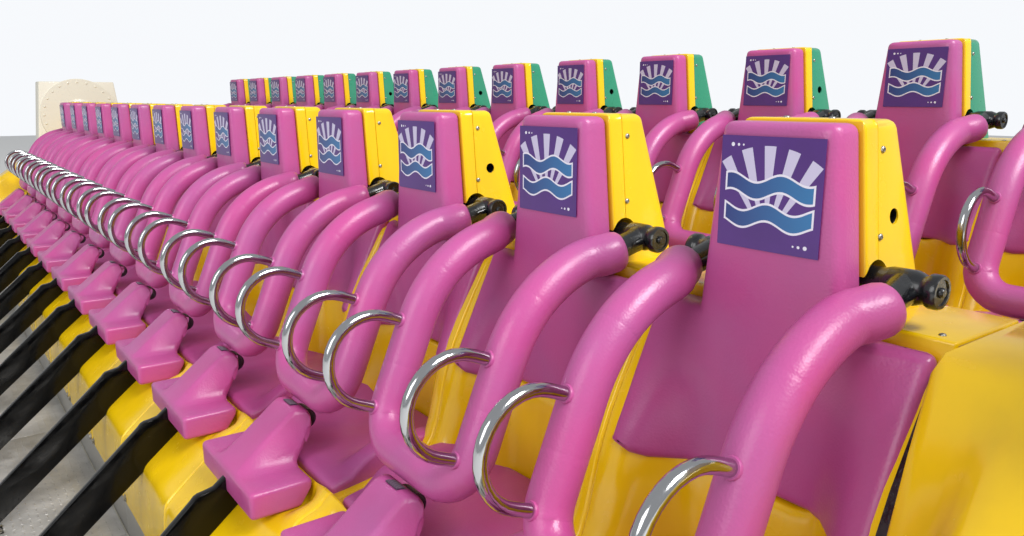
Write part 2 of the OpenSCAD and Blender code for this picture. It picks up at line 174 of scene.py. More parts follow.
def treadPlate():
    # Rolled aluminium floor plate: rows of small lens-shaped bars, turned by a quarter from one to the next
    lens = {"cellMm": 28.0, "barMm": 20.0, "barWidthMm": 5.0, "riseMm": 2.0}
    material, tree, shader, place = newMaterial("rolledTreadPlate", "#B2AFAA", 0.42, metallic=0.45)
    cells = addNode(tree, "ShaderNodeMapping",
                    inputs={"Vector": place, "Scale": [1000.0 / lens["cellMm"]] * 3}).outputs[0]
    inCell = addNode(tree, "ShaderNodeVectorMath", {"operation": "FRACTION"}, {0: cells}).outputs[0]
    inCell = addNode(tree, "ShaderNodeVectorMath", {"operation": "SUBTRACT"},
                     {0: inCell, 1: (0.5, 0.5, 0.0)}).outputs[0]
    index = addNode(tree, "ShaderNodeVectorMath", {"operation": "FLOOR"}, {0: cells}).outputs[0]
    index = addNode(tree, "ShaderNodeVectorMath", {"operation": "DOT_PRODUCT"}, {0: index, 1: (1.0, 1.0, 0.0)})
    odd = addNode(tree, "ShaderNodeMath", {"operation": "FLOORED_MODULO"}, {0: index.outputs["Value"], 1: 2.0})
    lengthwise, crosswise = [2 * lens["cellMm"] / lens[size] for size in ("barMm", "barWidthMm")]
    reaches = []
    for scale in ((lengthwise, crosswise, 0.0), (crosswise, lengthwise, 0.0)):
        bar = addNode(tree, "ShaderNodeVectorMath", {"operation": "MULTIPLY"}, {0: inCell, 1: scale}).outputs[0]
        reaches.append(addNode(tree, "ShaderNodeVectorMath", {"operation": "LENGTH"}, {0: bar}).outputs["Value"])
    reach = addNode(tree, "ShaderNodeMix", {"data_type": "FLOAT"},
                    {0: odd.outputs[0], 2: reaches[0], 3: reaches[1]}).outputs[0]
    height = addNode(tree, "ShaderNodeMapRange",
                     inputs={"Value": reach, "From Min": 0.3, "From Max": 1.0, "To Min": 1.0, "To Max": 0.0})
    dress(tree, shader, height.outputs["Result"], lens["riseMm"],
          ("#A5A29D", "#C6C3BE", blotches(tree, place, 150, 5.0, window=middle)),
          blotches(tree, place, 40, 5.0, (0.3, 0.55), middle))
    return material


def polyesterWebbing():
    # Woven polyester tape: a fine twill that only shows as a soft cross grain
    twillMm = 2.2
    material, tree, shader, place = newMaterial("polyesterWebbing", "#351636", 0.75, ior=1.46)
    shader.inputs["Sheen Weight"].default_value = 0.3
    shader.inputs["Sheen Roughness"].default_value = 0.5
    weave = addNode(tree, "ShaderNodeTexWave", {"bands_direction": "DIAGONAL"},
                    {"Vector": place, "Scale": 1000.0 / twillMm / 6.28, "Distortion": 0.4}).outputs["Fac"]
    dress(tree, shader, weave, 0.4, ("#2B112C", "#47204A", weave))
    return material


def printedVinyl():
    # Printed vinyl: violet ground, a fan of pale rays and two outlined blue waves, on the panel's own UV map
    fan = {"foot": (0.5, 0.10, 0.0), "rays": 22.0, "gap": 0.05, "halfTurn": 0.65, "middle": 0.56, "half": 0.26}
    wave = {"lines": ((0.56, 0.0), (0.30, 1.6)), "rise": 0.040, "swings": 12.56,
            "outline": (0.086, 0.44), "core": (0.066, 0.422)}
    dots = ((0.12, 0.92, 0.018), (0.18, 0.92, 0.013), (0.23, 0.92, 0.009),
            (0.88, 0.08, 0.018), (0.82, 0.08, 0.013), (0.77, 0.08, 0.009))
    pale = paint("#E4E2EE")
    material, tree, shader, place = newMaterial("printedVinyl", "#4B2177", 0.32, ior=1.46, coat=0.3,
                                                coatRoughness=0.15)
    uv = addNode(tree, "ShaderNodeTexCoord").outputs["UV"]
    u, v, _ = addNode(tree, "ShaderNodeSeparateXYZ", inputs={"Vector": uv}).outputs

    def printOn(ground, ink, *masks):
        # Prints an ink where all the masks are 1
        mask = masks[0]
        for other in masks[1:]:
            mask = addNode(tree, "ShaderNodeMath", {"operation": "MULTIPLY"}, {0: mask, 1: other}).outputs[0]
        mix = addNode(tree, "ShaderNodeMix", {"data_type": "RGBA"}, {"Factor": mask, 6: ground, 7: ink})
        return mix.outputs[2]

    picture = printOn(paint("#46206E"), paint("#552884"), blotches(tree, place, 80))
    fromFoot = addNode(tree, "ShaderNodeVectorMath", {"operation": "SUBTRACT"}, {0: uv, 1: fan["foot"]}).outputs[0]
    reach = addNode(tree, "ShaderNodeVectorMath", {"operation": "LENGTH"}, {0: fromFoot}).outputs["Value"]
    sideways, upward, _ = addNode(tree, "ShaderNodeSeparateXYZ", inputs={"Vector": fromFoot}).outputs
    turn = addNode(tree, "ShaderNodeMath", {"operation": "ARCTAN2"}, {0: sideways, 1: upward}).outputs[0]
    rays = addNode(tree, "ShaderNodeMath", {"operation": "MULTIPLY"}, {0: turn, 1: fan["rays"]}).outputs[0]
    rays = addNode(tree, "ShaderNodeMath", {"operation": "COSINE"}, {0: rays}).outputs[0]
    rays = addNode(tree, "ShaderNodeMath", {"operation": "GREATER_THAN"}, {0: rays, 1: fan["gap"]}).outputs[0]
    inTurn = addNode(tree, "ShaderNodeMath", {"operation": "COMPARE"}, {0: turn, 1: 0.0, 2: fan["halfTurn"]})
    inBand = addNode(tree, "ShaderNodeMath", {"operation": "COMPARE"},
                     {0: reach, 1: fan["middle"], 2: fan["half"]})
    picture = printOn(picture, paint("#C9C3DE"), rays, inTurn.outputs[0], inBand.outputs[0])
    blues = printOn(paint("#232A74"), paint("#2F78AE"), u)
    for height, phase in wave["lines"]:
        line = addNode(tree, "ShaderNodeMath", {"operation": "MULTIPLY_ADD"}, {0: u, 1: wave["swings"], 2: phase})
        line = addNode(tree, "ShaderNodeMath", {"operation": "SINE"}, {0: line.outputs[0]})
        line = addNode(tree, "ShaderNodeMath", {"operation": "MULTIPLY_ADD"},
                       {0: line.outputs[0], 1: wave["rise"], 2: height})
        for (halfHigh, halfWide), ink in ((wave["outline"], pale), (wave["core"], blues)):
            up = addNode(tree, "ShaderNodeMath", {"operation": "COMPARE"}, {0: v, 1: line.outputs[0], 2: halfHigh})
            across = addNode(tree, "ShaderNodeMath", {"operation": "COMPARE"}, {0: u, 1: 0.5, 2: halfWide})
            picture = printOn(picture, ink, up.outputs[0], across.outputs[0])
    for x, y, size in dots:
        away = addNode(tree, "ShaderNodeVectorMath", {"operation": "DISTANCE"}, {0: uv, 1: (x, y, 0.0)})
        spot = addNode(tree, "ShaderNodeMath", {"operation": "LESS_THAN"}, {0: away.outputs["Value"], 1: size})
        picture = printOn(picture, pale, spot.outputs[0])
    tree.links.new(picture, shader.inputs["Base Color"])
    dress(tree, shader, blotches(tree, place, 6, 4.0), 0.1)
    return material


materials = {
    "pinkFoam": skinnedFoam("skinnedPinkFoam", "#BA4C8C", "#AE5590", 0.36),
    "yellowGelcoat": gelcoat("yellowGelcoat", "#F0C508", "#D6AA18", 0.22),
    "tealGelcoat": gelcoat("tealGelcoat", "#2C8C6C", "#3A7E68", 0.3),
    "blackEnamel": enamel("blackEnamel", "#060607", "#1C1B1A", 0.12, shine=0.22),
    "castBlackEnamel": enamel("castBlackEnamel", "#101216", "#3A3835", 0.2, 7, 0.5),
    "creamEnamel": enamel("creamEnamel", "#DED8C6", "#A79C84", 0.4, 30, 0.15),
    "polishedStainless": bareMetal("polishedStainless", "#B4B5B7", 0.09, 3.0, (1.0, 1.0, 0.1)),
    "zincSteel": bareMetal("zincPlatedSteel", "#A9A8A2", 0.3, 2.0, (1.0, 1.0, 1.0)),
    "rolledAluminium": bareMetal("rolledAluminium", "#B9B8B4", 0.42, 6.0, (0.05, 1.0, 1.0)),
    "treadPlate": treadPlate(),
    "webbing": polyesterWebbing(),
    "badgePrint": printedVinyl(),
}
print("materials made:", len(materials))

# Camera at the photograph's place, and its lens
photoCamera = {"fromLastBadge": (0.8345, -1.1704, 0.1515), "tilt": 78.016, "turn": 53.394, "lens": 28.13,
               "sensor": 36.0, "near": 0.05}
cameraData = bpy.data.cameras.new("photoCamera")
cameraData.lens = photoCamera["lens"]
cameraData.sensor_width = photoCamera["sensor"]
cameraData.clip_start = photoCamera["near"]
camera = addObject("photoCamera", cameraData)
lastSeat = Vector((gondola["pitch"] * (gondola["seats"] - 1), 0, 0))
camera.location = rows["front"] + lastSeat + Vector(photoCamera["fromLastBadge"])
camera.rotation_euler = (math.radians(photoCamera["tilt"]), 0, math.radians(photoCamera["turn"]))
bpy.context.scene.camera = camera

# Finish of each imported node, by a word in its name; a later word in the list wins
nodeMaterials = {
    "frames": "zincSteel", "head": "yellowGelcoat", "pads": "pinkFoam", "cushions": "pinkFoam",
    "restraint": "pinkFoam", "bars": "blackEnamel", "belts": "webbing", "pivots": "castBlackEnamel",
    "deck": "treadPlate", "hub": "creamEnamel", "end_frames": "creamEnamel", "underframe": "creamEnamel",
    "rear_head_covers": "tealGelcoat",
}
for name, node in frame["nodes"].items():
    finish = "yellowGelcoat"
    for word, key in nodeMaterials.items():
        if word in name:
            finish = key
    node.data.materials.clear()
    node.data.materials.append(materials[finish])


# Mesh helpers

def clamp(value):
    return max(0.0, min(1.0, value))


def ease(value):
    value = clamp(value)
    return value * value * (3 - 2 * value)


def lerp(a, b, t):
    return a + (b - a) * t


def along(line, t):
    # Height of a broken line, given as (place, height) pairs, at place t
    if t <= line[0][0]:
        return line[0][1]
    for (t0, h0), (t1, h1) in zip(line, line[1:]):
        if t <= t1:
            return lerp(h0, h1, (t - t0) / (t1 - t0))
    return line[-1][1]


def bothSides(halves):
    # The places from a middle at 0 outwards, with their mirror images
    return [-x for x in reversed(halves[1:])] + list(halves)


def newPiece(name, bm, finish, sharpDeg=38):
    bmesh.ops.recalc_face_normals(bm, faces=bm.faces)
    mesh = bpy.data.meshes.new(name)
    bm.to_mesh(mesh)
    bm.free()
    mesh.polygons.foreach_set("use_smooth", [True] * len(mesh.polygons))
    mesh.set_sharp_from_angle(angle=math.radians(sharpDeg))
    mesh.materials.append(materials[finish])
    return addObject(name, mesh)


def settle(piece, sharpDeg=None):
    # Turns what the modifiers make into a plain mesh
    bpy.context.view_layer.update()
    graph = bpy.context.evaluated_depsgraph_get()
    mesh = bpy.data.meshes.new_from_object(piece.evaluated_get(graph))
    piece.modifiers.clear()
    piece.data = mesh
    if sharpDeg:
        mesh.set_sharp_from_angle(angle=math.radians(sharpDeg))
    return piece


def soften(piece, width, segments=3, angle=40, weighted=False, sharpDeg=50):
    # Rounds the edges, by angle or by the weights that were set
    bevel = piece.modifiers.new("softEdges", "BEVEL")
    bevel.width = width
    bevel.segments = segments
    bevel.limit_method = "WEIGHT" if weighted else "ANGLE"
    bevel.angle_limit = math.radians(angle)
    bevel.use_clamp_overlap = False
    return settle(piece, sharpDeg)


def weighEdges(bm, rule):
    # Bevel weight of each edge, from a rule on its two ends
    layer = bm.edges.layers.float.new("bevel_weight_edge")
    for edge in bm.edges:
        edge[layer] = rule(edge.verts[0].co, edge.verts[1].co)


def skin(bm, lines, closed=False):
    # Faces between lines of corners; a closed line runs on to its first corner
    count = len(lines[0])
    for a, b in zip(lines, lines[1:]):
        for i in range(count if closed else count - 1):
            j = (i + 1) % count
            bm.faces.new([a[i], a[j], b[j], b[i]])


def capEnds(bm, lines):
    bm.faces.new(lines[0])
    bm.faces.new(list(reversed(lines[-1])))


def slab(cells, frontOf, backOf):
    # Closed solid between a front and a back sheet over the same cells; a cell is four keys
    bm = bmesh.new()
    keys = sorted({key for cell in cells for key in cell})
    front = {key: bm.verts.new(frontOf(*key)) for key in keys}
    back = {key: bm.verts.new(backOf(*key)) for key in keys}
    used = set()
    for cell in cells:
        bm.faces.new([front[key] for key in cell])
        bm.faces.new([back[key] for key in reversed(cell)])
        used.update(zip(cell, cell[1:] + cell[:1]))
    for a, b in sorted(used):
        if (b, a) not in used:
            bm.faces.new([front[b], front[a], back[a], back[b]])
    return bm


def gridCells(columns, levels, skip=lambda x, y: False):
    # Cells over a grid of values; skip leaves out the cells whose middle it names
    cells = []
    for x0, x1 in zip(columns, columns[1:]):
        for y0, y1 in zip(levels, levels[1:]):
            if not skip((x0 + x1) / 2, (y0 + y1) / 2):
                cells.append([(x0, y0), (x1, y0), (x1, y1), (x0, y1)])
    return cells


def prism(outline, x0, x1):
    # Solid from a y, z outline between two x places
    bm = bmesh.new()
    ends = [[bm.verts.new((x, y, z)) for y, z in outline] for x in (x0, x1)]
    capEnds(bm, ends)
    skin(bm, ends, closed=True)
    return bm


def block(low, high):
    return prism([(low[1], low[2]), (high[1], low[2]), (high[1], high[2]), (low[1], high[2])], low[0], high[0])


def merge(target, *others):
    for other in others:
        mesh = bpy.data.meshes.new("merged")
        other.to_mesh(mesh)
        other.free()
        target.from_mesh(mesh)
        bpy.data.meshes.remove(mesh)
    return target


def sweep(points, radii=None, sides=4, flat=None):
    # Tube along points; flat gives half width and half thickness of a strap instead, width along x
    bm = bmesh.new()
    points = [Vector(p) for p in points]
    if flat:
        corners = [(a * flat[0], b * flat[1]) for a, b in ((1, 1), (-1, 1), (-1, -1), (1, -1))]
    else:
        turns = [2 * math.pi * k / sides for k in range(sides)]
        corners = [(math.sin(turn), math.cos(turn)) for turn in turns]
    rings = []
    normal = None
    for i, point in enumerate(points):
        tangent = (points[min(i + 1, len(points) - 1)] - points[max(i - 1, 0)]).normalized()
        if normal is None:
            normal = tangent.cross(Vector((1, 0, 0)))
            if normal.length < 0.2:
                normal = tangent.cross(Vector((0, 0, 1)))
        normal = (normal - tangent * normal.dot(tangent)).normalized()
        side = tangent.cross(normal)
        size = radii[i] if radii else 1.0
        rings.append([bm.verts.new(point + (side * a + normal * b) * size) for a, b in corners])
    skin(bm, rings, closed=True)
    capEnds(bm, rings)
    return bm


def lathe(profile, centre=(0, 0, 0), axis=(1, 0, 0), sides=28, bored=False):
    # Solid of revolution; the profile is (distance along the axis, radius) pairs, and closes on itself if bored
    bm = bmesh.new()
    turn = Vector(axis).to_track_quat("Z", "Y").to_matrix()
    angles = [2 * math.pi * k / sides for k in range(sides)]
    rings = [[bm.verts.new(Vector(centre) + turn @ Vector((radius * math.cos(a), radius * math.sin(a), height)))
              for a in angles] for height, radius in profile]
    skin(bm, rings + rings[:1] if bored else rings, closed=True)
    if not bored:
        capEnds(bm, rings)
    return bm


def rod(radius, length, start, sides):
    # Plain cylinder along x, for holes and shafts
    return lathe([(0, radius), (length, radius)], start, sides=sides)


def flipped(bm):
    # Mirror image in x
    bmesh.ops.scale(bm, vec=(-1, 1, 1), verts=bm.verts)
    bmesh.ops.reverse_faces(bm, faces=bm.faces)
    return bm


def mirrored(bm):
    # The same mesh and its mirror image in x
    return merge(bm, flipped(bm.copy()))


def meshOf(piece):
    # Takes a piece apart into a mesh that can be edited
    bm = bmesh.new()
    bm.from_mesh(piece.data)
    bpy.data.objects.remove(piece)
    return bm


def cut(piece, tools, sharpDeg=38):
    # Takes other solids out of a piece
    for tool in tools:
        other = newPiece("cutter", tool, "yellowGelcoat")
        boolean = piece.modifiers.new("cut", "BOOLEAN")
        boolean.operation = "DIFFERENCE"
        boolean.solver = "EXACT"
        boolean.object = other
        settle(piece)
        bpy.data.objects.remove(other)
    piece.data.set_sharp_from_angle(angle=math.radians(sharpDeg))
    return piece


# Geometry Nodes: what stands once at each seat of a row, and small parts at points

def newTree(name, sockets, result):
    # Node group with inputs as (name, kind) pairs and one geometry result
    group = bpy.data.node_groups.new(name, "GeometryNodeTree")
    for label, kind in sockets:
        group.interface.new_socket(name=label, in_out="INPUT", socket_type=f"NodeSocket{kind}")
    group.interface.new_socket(name=result, in_out="OUTPUT", socket_type="NodeSocketGeometry")
    return group, addNode(group, "NodeGroupInput").outputs


def endTree(group, placed, finish, result):
    # Makes the instances real and paints them
    real = addNode(group, "GeometryNodeRealizeInstances", inputs={"Geometry": placed.outputs[0]})
    painted = addNode(group, "GeometryNodeSetMaterial", inputs={"Geometry": real.outputs[0], "Material": finish})
    addNode(group, "NodeGroupOutput", inputs={result: painted.outputs[0]})
    return group


def seatRowTree():
    group, given = newTree("seatsInARow", (("Seat piece", "Geometry"), ("Seats", "Int"), ("Pitch", "Float"),
                                           ("First seat", "Vector"), ("Finish", "Material")), "Row")
    step = addNode(group, "ShaderNodeCombineXYZ", inputs={"X": given["Pitch"]}).outputs[0]
    line = addNode(group, "GeometryNodeMeshLine", {"mode": "OFFSET"},
                   {"Count": given["Seats"], "Start Location": given["First seat"], "Offset": step}).outputs[0]
    placed = addNode(group, "GeometryNodeInstanceOnPoints",
                     inputs={"Points": line, "Instance": given["Seat piece"]})
    return endTree(group, placed, given["Finish"], "Row")


def partsAtPointsTree():
    # Each part faces its point's direction, at a turn of its own about it
    group, given = newTree("partsAtPoints", (("Points", "Geometry"), ("Part", "Object"), ("Seed", "Int"),
                                             ("Finish", "Material")), "Parts")
    facing = addNode(group, "GeometryNodeInputNamedAttribute", {"data_type": "FLOAT_VECTOR"}, {"Name": "facing"})
    turned = addNode(group, "FunctionNodeAlignRotationToVector", {"axis": "Z"}, {"Vector": facing.outputs[0]})
    spin = addNode(group, "FunctionNodeRandomValue", {"data_type": "FLOAT"},
                   {2: 0.0, 3: 6.28, "Seed": given["Seed"]})
    about = addNode(group, "ShaderNodeCombineXYZ", inputs={"Z": spin.outputs[1]})
    twist = addNode(group, "FunctionNodeEulerToRotation", inputs={0: about.outputs[0]})
    both = addNode(group, "FunctionNodeRotateRotation", {"rotation_space": "LOCAL"},
                   {0: turned.outputs[0], 1: twist.outputs[0]})
    part = addNode(group, "GeometryNodeObjectInfo", inputs={"Object": given["Part"]})
    placed = addNode(group, "GeometryNodeInstanceOnPoints", inputs={
        "Points": given["Points"], "Instance": part.outputs["Geometry"], "Rotation": both.outputs[0]})
    return endTree(group, placed, given["Finish"], "Parts")


trees = {"row": seatRowTree(), "parts": partsAtPointsTree()}


def runTree(piece, tree, values):
    modifier = piece.modifiers.new(tree.name, "NODES")
    modifier.node_group = tree
    for item in tree.interface.items_tree:
        if item.in_out == "INPUT" and item.name in values:
            modifier[item.identifier] = values[item.name]
    return settle(piece)


def partsAt(name, places, part):
    # One small part at each (point, direction) pair, as a plain mesh
    mesh = bpy.data.meshes.new(name)
    mesh.from_pydata([tuple(point) for point, direction in places], [], [])
    facing = mesh.attributes.new("facing", "FLOAT_VECTOR", "POINT")
    for i, (point, direction) in enumerate(places):
        facing.data[i].vector = direction
    return runTree(addObject(name, mesh), trees["parts"],
                   {"Part": part, "Seed": 3, "Finish": part.data.materials[0]})


def rootPiece(piece, slot, *replaced, padded=None):
    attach(piece, gondola["rootBody"])
    if replaced:
        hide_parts(*replaced)


def placeInRow(piece, row, slot, *replaced, finish=None, firstSeat=0, every=1, padded=None):
    # The seat piece stands at the seats of one row, and rides on the gondola
    copy = addObject(f"{row}{piece.name[0].upper()}{piece.name[1:]}", piece.data.copy())
    runTree(copy, trees["row"], {
        "Seats": gondola["seats"] // every, "Pitch": gondola["pitch"] * every,
        "First seat": rows[row] + Vector((firstSeat * gondola["pitch"], 0, 0)),
        "Finish": materials[finish] if finish else piece.data.materials[0]})
    rootPiece(copy, slot, *[f"{row}_{node}" for node in replaced], padded=padded)


def bothRows(piece, slot, *replaced, **choices):
    # The same seat piece in the front and in the rear row
    for row in rows:
        placeInRow(piece, row, slot, *replaced, **choices)
    bpy.data.objects.remove(piece)


# Back and head pad: one moulding, flat head on shoulders that dish forward into side wings
backPad = {
    "headTop": 0.115, "headFoot": 0.150, "top": 0.112, "shoulder": -0.236, "foot": -0.556, "corner": -0.540,
    "half": 0.280, "wingIn": 0.205, "back": 0.073, "shoulderBack": 0.042, "wingFront": -0.095,
    "wingLow": -0.525, "dishFrom": 0.115, "dishTo": 0.250, "crown": 0.002, "edge": 0.017,
    "headShares": (0.0, 0.27, 0.52, 0.78, 1.0), "wingPlaces": (0.178, 0.205, 0.232, 0.256),
    "padLevels": (-0.530, -0.495, -0.455, -0.410, -0.365, -0.315, -0.268),
    "headLevels": (-0.205, -0.150, -0.090, -0.030, 0.030, 0.080),
}


def padFront(x, z):
    # y of the padded surface below the head
    p = backPad
    down = clamp((p["shoulder"] - z) / (p["shoulder"] - p["wingLow"]))
    side = ease((abs(x) - p["dishFrom"]) / (p["dishTo"] - p["dishFrom"]))
    return lerp(p["shoulderBack"], p["wingFront"], down) * side


def makeBackPad():
    p = backPad
    columns = bothSides([t * p["headFoot"] for t in p["headShares"]] + [*p["wingPlaces"], p["half"]])
    levels = [p["foot"], *p["padLevels"], p["shoulder"], *p["headLevels"], p["top"]]
    cells = gridCells(columns, levels, lambda x, z: abs(x) > p["headFoot"] and z > p["shoulder"])

    def front(x, z):
        low = ease((abs(x) - p["wingIn"]) / (p["half"] - p["wingIn"])) if z == p["foot"] else 0.0
        height = z + low * (p["corner"] - p["foot"])
        up = clamp((z - p["shoulder"]) / (p["top"] - p["shoulder"]))
        wide = lerp(p["headFoot"], p["headTop"], up) / p["headFoot"]
        crown = p["crown"] * (1 - (x / p["headFoot"]) ** 2) if p["shoulder"] < z < p["top"] else 0.0
        return Vector((x * wide, padFront(x, height) - crown, height))

    def back(x, z):
        point = front(x, z)
        return Vector((point.x, p["back"], point.z))

    piece = newPiece("backPad", slab(cells, front, back), "pinkFoam")
    return soften(piece, p["edge"], 4, 50)


# Vinyl panel on the head pad, with its own UV map for the printed pattern
badge = {"half": 0.103, "low": -0.108, "high": 0.088, "front": -0.0035, "thick": 0.0012, "crown": 0.0018,
         "steps": 6}


def makeBadge():
    b = badge
    bm = bmesh.new()
    uv = bm.loops.layers.uv.new("UVMap")
    shares = [i / b["steps"] for i in range(b["steps"] + 1)]
    skin(bm, [[bm.verts.new((lerp(-b["half"], b["half"], s), b["front"] - b["crown"] * (1 - (2 * s - 1) ** 2),
                             lerp(b["low"], b["high"], t))) for s in shares] for t in shares])
    for face in bm.faces:
        for loop in face.loops:
            x, y, z = loop.vert.co
            loop[uv].uv = ((x + b["half"]) / (2 * b["half"]), (z - b["low"]) / (b["high"] - b["low"]))
    piece = newPiece("badgePanel", bm, "badgePrint")
    solid = piece.modifiers.new("vinyl", "SOLIDIFY")
    solid.thickness = b["thick"]
    solid.offset = 1.0
    return settle(piece, 40)


# Head housing: a front frame and a rear cover, with the opening for the pivot in their sides
housing = {
    "growTop": 0.004, "growFoot": 0.003, "top": 0.118, "foot": -0.215, "frontY": 0.0735, "seamY": 0.1115,
    "gap": 0.0015, "backTop": 0.180, "backFoot": 0.265, "coverInset": 0.0008,
    "edge": 0.016, "frontEdge": 0.005, "seamEdge": 0.0015, "near": 0.002, "slopeNear": 0.03,
    "columns": (-1.0, -0.72, -0.3, 0.3, 0.72, 1.0), "levels": (-0.185, -0.11, -0.02, 0.07, 0.095),
    "openingR": 0.036, "holeR": 0.014, "holeX": 0.08, "holeY": 0.163, "holeZ": -0.046,
    "pivotY": 0.108, "pivotZ": -0.150,
    # Profiles of the pivot sleeve and of the black cup in the inspection hole, which is painted shade for the
    # hole's dark inside: place along x, radius
    "sleeve": ((-0.108, 0.0175), (-0.108, 0.0325), (-0.100, 0.034), (0.100, 0.034), (0.108, 0.0325),
               (0.108, 0.0175)),
    "liner": ((0.0, 0.0138), (0.051, 0.0138), (0.051, 0.0128), (0.002, 0.0128)),
}


def housingHalf(z):
    h = housing
    return lerp(backPad["headFoot"] + h["growFoot"], backPad["headTop"] + h["growTop"],
                (z - h["foot"]) / (h["top"] - h["foot"]))


def makeHousing(name, rear=False, holed=False):
    h = housing
    y0 = h["seamY"] + h["gap"] if rear else h["frontY"]
    inset = h["coverInset"] if rear else 0.0

    def depth(z):
        if not rear:
            return h["seamY"]
        return lerp(h["backFoot"], h["backTop"], (z - h["foot"]) / (h["top"] - h["foot"]))

    def corner(t, y, z):
        return Vector((t * (housingHalf(z) - inset), y, z - (inset if z == h["top"] else 0)))

    bm = slab(gridCells(h["columns"], [h["foot"], *h["levels"], h["top"]]),
              lambda t, z: corner(t, y0, z), lambda t, z: corner(t, depth(z), z))

    def rule(a, b):
        # Full rounding at the top corners and round a cover's back, less at the front and at the seam
        middle = (a + b) / 2
        atSide = abs(abs(middle.x) - housingHalf(middle.z)) < 2 * h["near"]
        atTop = middle.z > h["top"] - h["near"]
        outline = atSide or atTop or middle.z < h["foot"] + h["near"]
        if atSide and atTop:
            return 1.0
        if outline and middle.y > depth(middle.z) - h["near"] and abs(a.y - b.y) < h["slopeNear"]:
            return 1.0 if rear else h["seamEdge"] / h["edge"]
        if outline and middle.y < y0 + h["near"] and abs(a.y - b.y) < h["near"]:
            return (h["seamEdge"] if rear else h["frontEdge"]) / h["edge"]
        return 0.0

    weighEdges(bm, rule)
    piece = newPiece(name, bm, "yellowGelcoat")
    soften(piece, h["edge"], 4, weighted=True)
    tools = [rod(h["openingR"], 0.1, (x, h["pivotY"], h["pivotZ"]), 32) for x in (0.1, -0.2)]
    if holed:
        tools.append(rod(h["holeR"], 0.12, (h["holeX"], h["holeY"], h["holeZ"]), 24))
    return cut(piece, tools)


def makePivotSleeve():
    # Bearing tube inside the housing, with its lip; the shaft of the harness turns in it
    h = housing
    bm = lathe(h["sleeve"], (0, h["pivotY"], h["pivotZ"]), bored=True)
    return newPiece("pivotSleeve", bm, "castBlackEnamel")


def makeHoleShade():
    # Black cup in the inspection hole: painted shade for the dark inside of the hole
    h = housing
    bm = lathe(h["liner"], (h["holeX"] + 0.001, h["holeY"], h["holeZ"]), sides=24)
    return newPiece("holeLiner", bm, "castBlackEnamel")


# Harness: foam tube loop, cast arms with end caps, and bent handles
harness = {
    "bendIn": (-0.048, -0.188), "startAngle": 13.69, "dropAngle": 67.8, "bendR": 0.300, "stub": 0.058,
    "drop": 0.195, "lapR": 0.095, "foamR": 0.045, "shoulderX": 0.203, "lapX": 0.180, "sides": 28,
    "stations": 38, "seams": (0.215, 0.455, 0.585), "seamHalf": 0.0015, "seamClear": 0.0061, "seamDeep": 0.0002,
    "gripR": 0.0135, "gripGap": 0.213, "gripReach": 0.086, "gripTop": 0.015, "gripSides": 14,
    # Blunt end of the foam: place along the tube, share of its radius
    "dome": ((-0.030, 0.3), (-0.0295, 0.66), (-0.0265, 0.80), (-0.020, 0.92), (-0.009, 0.985), (0.004, 1.0)),
    # Collar round the foot of a handle: height above the tube's centre line, radius
    "collar": ((0.036, 0.0175), (0.0445, 0.0185), (0.0475, 0.0170), (0.0475, 0.012)),
    # Arm casting: barrel on the shaft, then its ring and end cap, as place along x and radius
    "barrel": ((0.1115, 0.019), (0.1115, 0.0245), (0.115, 0.0255), (0.158, 0.0255), (0.166, 0.028),
               (0.172, 0.0295), (0.212, 0.0295), (0.219, 0.027), (0.226, 0.0245), (0.231, 0.0245),
               (0.235, 0.0275), (0.238, 0.0288), (0.2505, 0.0288), (0.2545, 0.0265), (0.2545, 0.0215),
               (0.2520, 0.0205), (0.2520, 0.009), (0.2560, 0.008), (0.2580, 0.006)),
    "armX": 0.196, "neck": (0.0285, 0.0275, 0.0262, 0.0262, 0.0275, 0.0300), "neckIn": 0.004,
    # Ribs of the arm: how far each lies from its middle, at the barrel and at the foam
    "ribs": ((-0.028, -0.012), (0.020, 0.010)), "ribR": 0.012, "shaftHalf": 0.1112, "shaftR": 0.016,
}


def harnessLine():
    # Centre line of one side, from the shoulder to the middle of the lap, and its direction at the drop
    h = harness
    a0, a1 = math.radians(h["startAngle"]), math.radians(h["dropAngle"])
    bendIn = Vector((0, h["bendIn"][0], h["bendIn"][1]))
    start = bendIn + h["stub"] * Vector((0, math.cos(a0), math.sin(a0)))
    centre = bendIn + h["bendR"] * Vector((0, math.sin(a0), -math.cos(a0)))
    points = [start + (bendIn - start) * k / 3 for k in range(3)]
    for k in range(13):
        a = lerp(a0, a1, k / 12)
        points.append(centre + h["bendR"] * Vector((0, -math.sin(a), math.cos(a))))
    down = Vector((0, -math.cos(a1), -math.sin(a1)))
    foot = points[-1]
    points += [foot + down * h["drop"] * k / 6 for k in range(1, 7)]
    total = h["stub"] + h["bendR"] * (a1 - a0) + h["drop"]
    run = 0.0
    for i, point in enumerate(points):
        if i:
            run += (point - points[i - 1]).length
        point.x = lerp(h["shoulderX"], h["lapX"], ease(run / total))
    middle = points[-1] - Vector((h["lapR"], 0, 0))
    for k in range(1, 10):
        a = math.pi / 2 * k / 9
        points.append(middle + h["lapR"] * (Vector((1, 0, 0)) * math.cos(a) + down * math.sin(a)))
    points.append(Vector((0, points[-1].y, points[-1].z)))
    return points, down


def atRun(points, run):
    # Point and direction at a distance along a line
    for a, b in zip(points, points[1:]):
        step = (b - a).length
        if run <= step:
            return a.lerp(b, run / step), (b - a).normalized()
        run -= step
    return points[-1], (points[-1] - points[-2]).normalized()


def gripEnds(s):
    # Where the two legs of a handle leave the tube, and the way they go
    h = harness
    half, down = harnessLine()
    bendEnd = h["stub"] + h["bendR"] * math.radians(h["dropAngle"] - h["startAngle"])
    ends = []
    for place in (h["gripTop"], h["gripTop"] + h["gripGap"]):
        root = atRun(half, bendEnd + place)[0].copy()
        root.x *= s
        ends.append((root, Vector((0, down.z, -down.y))))
    return ends


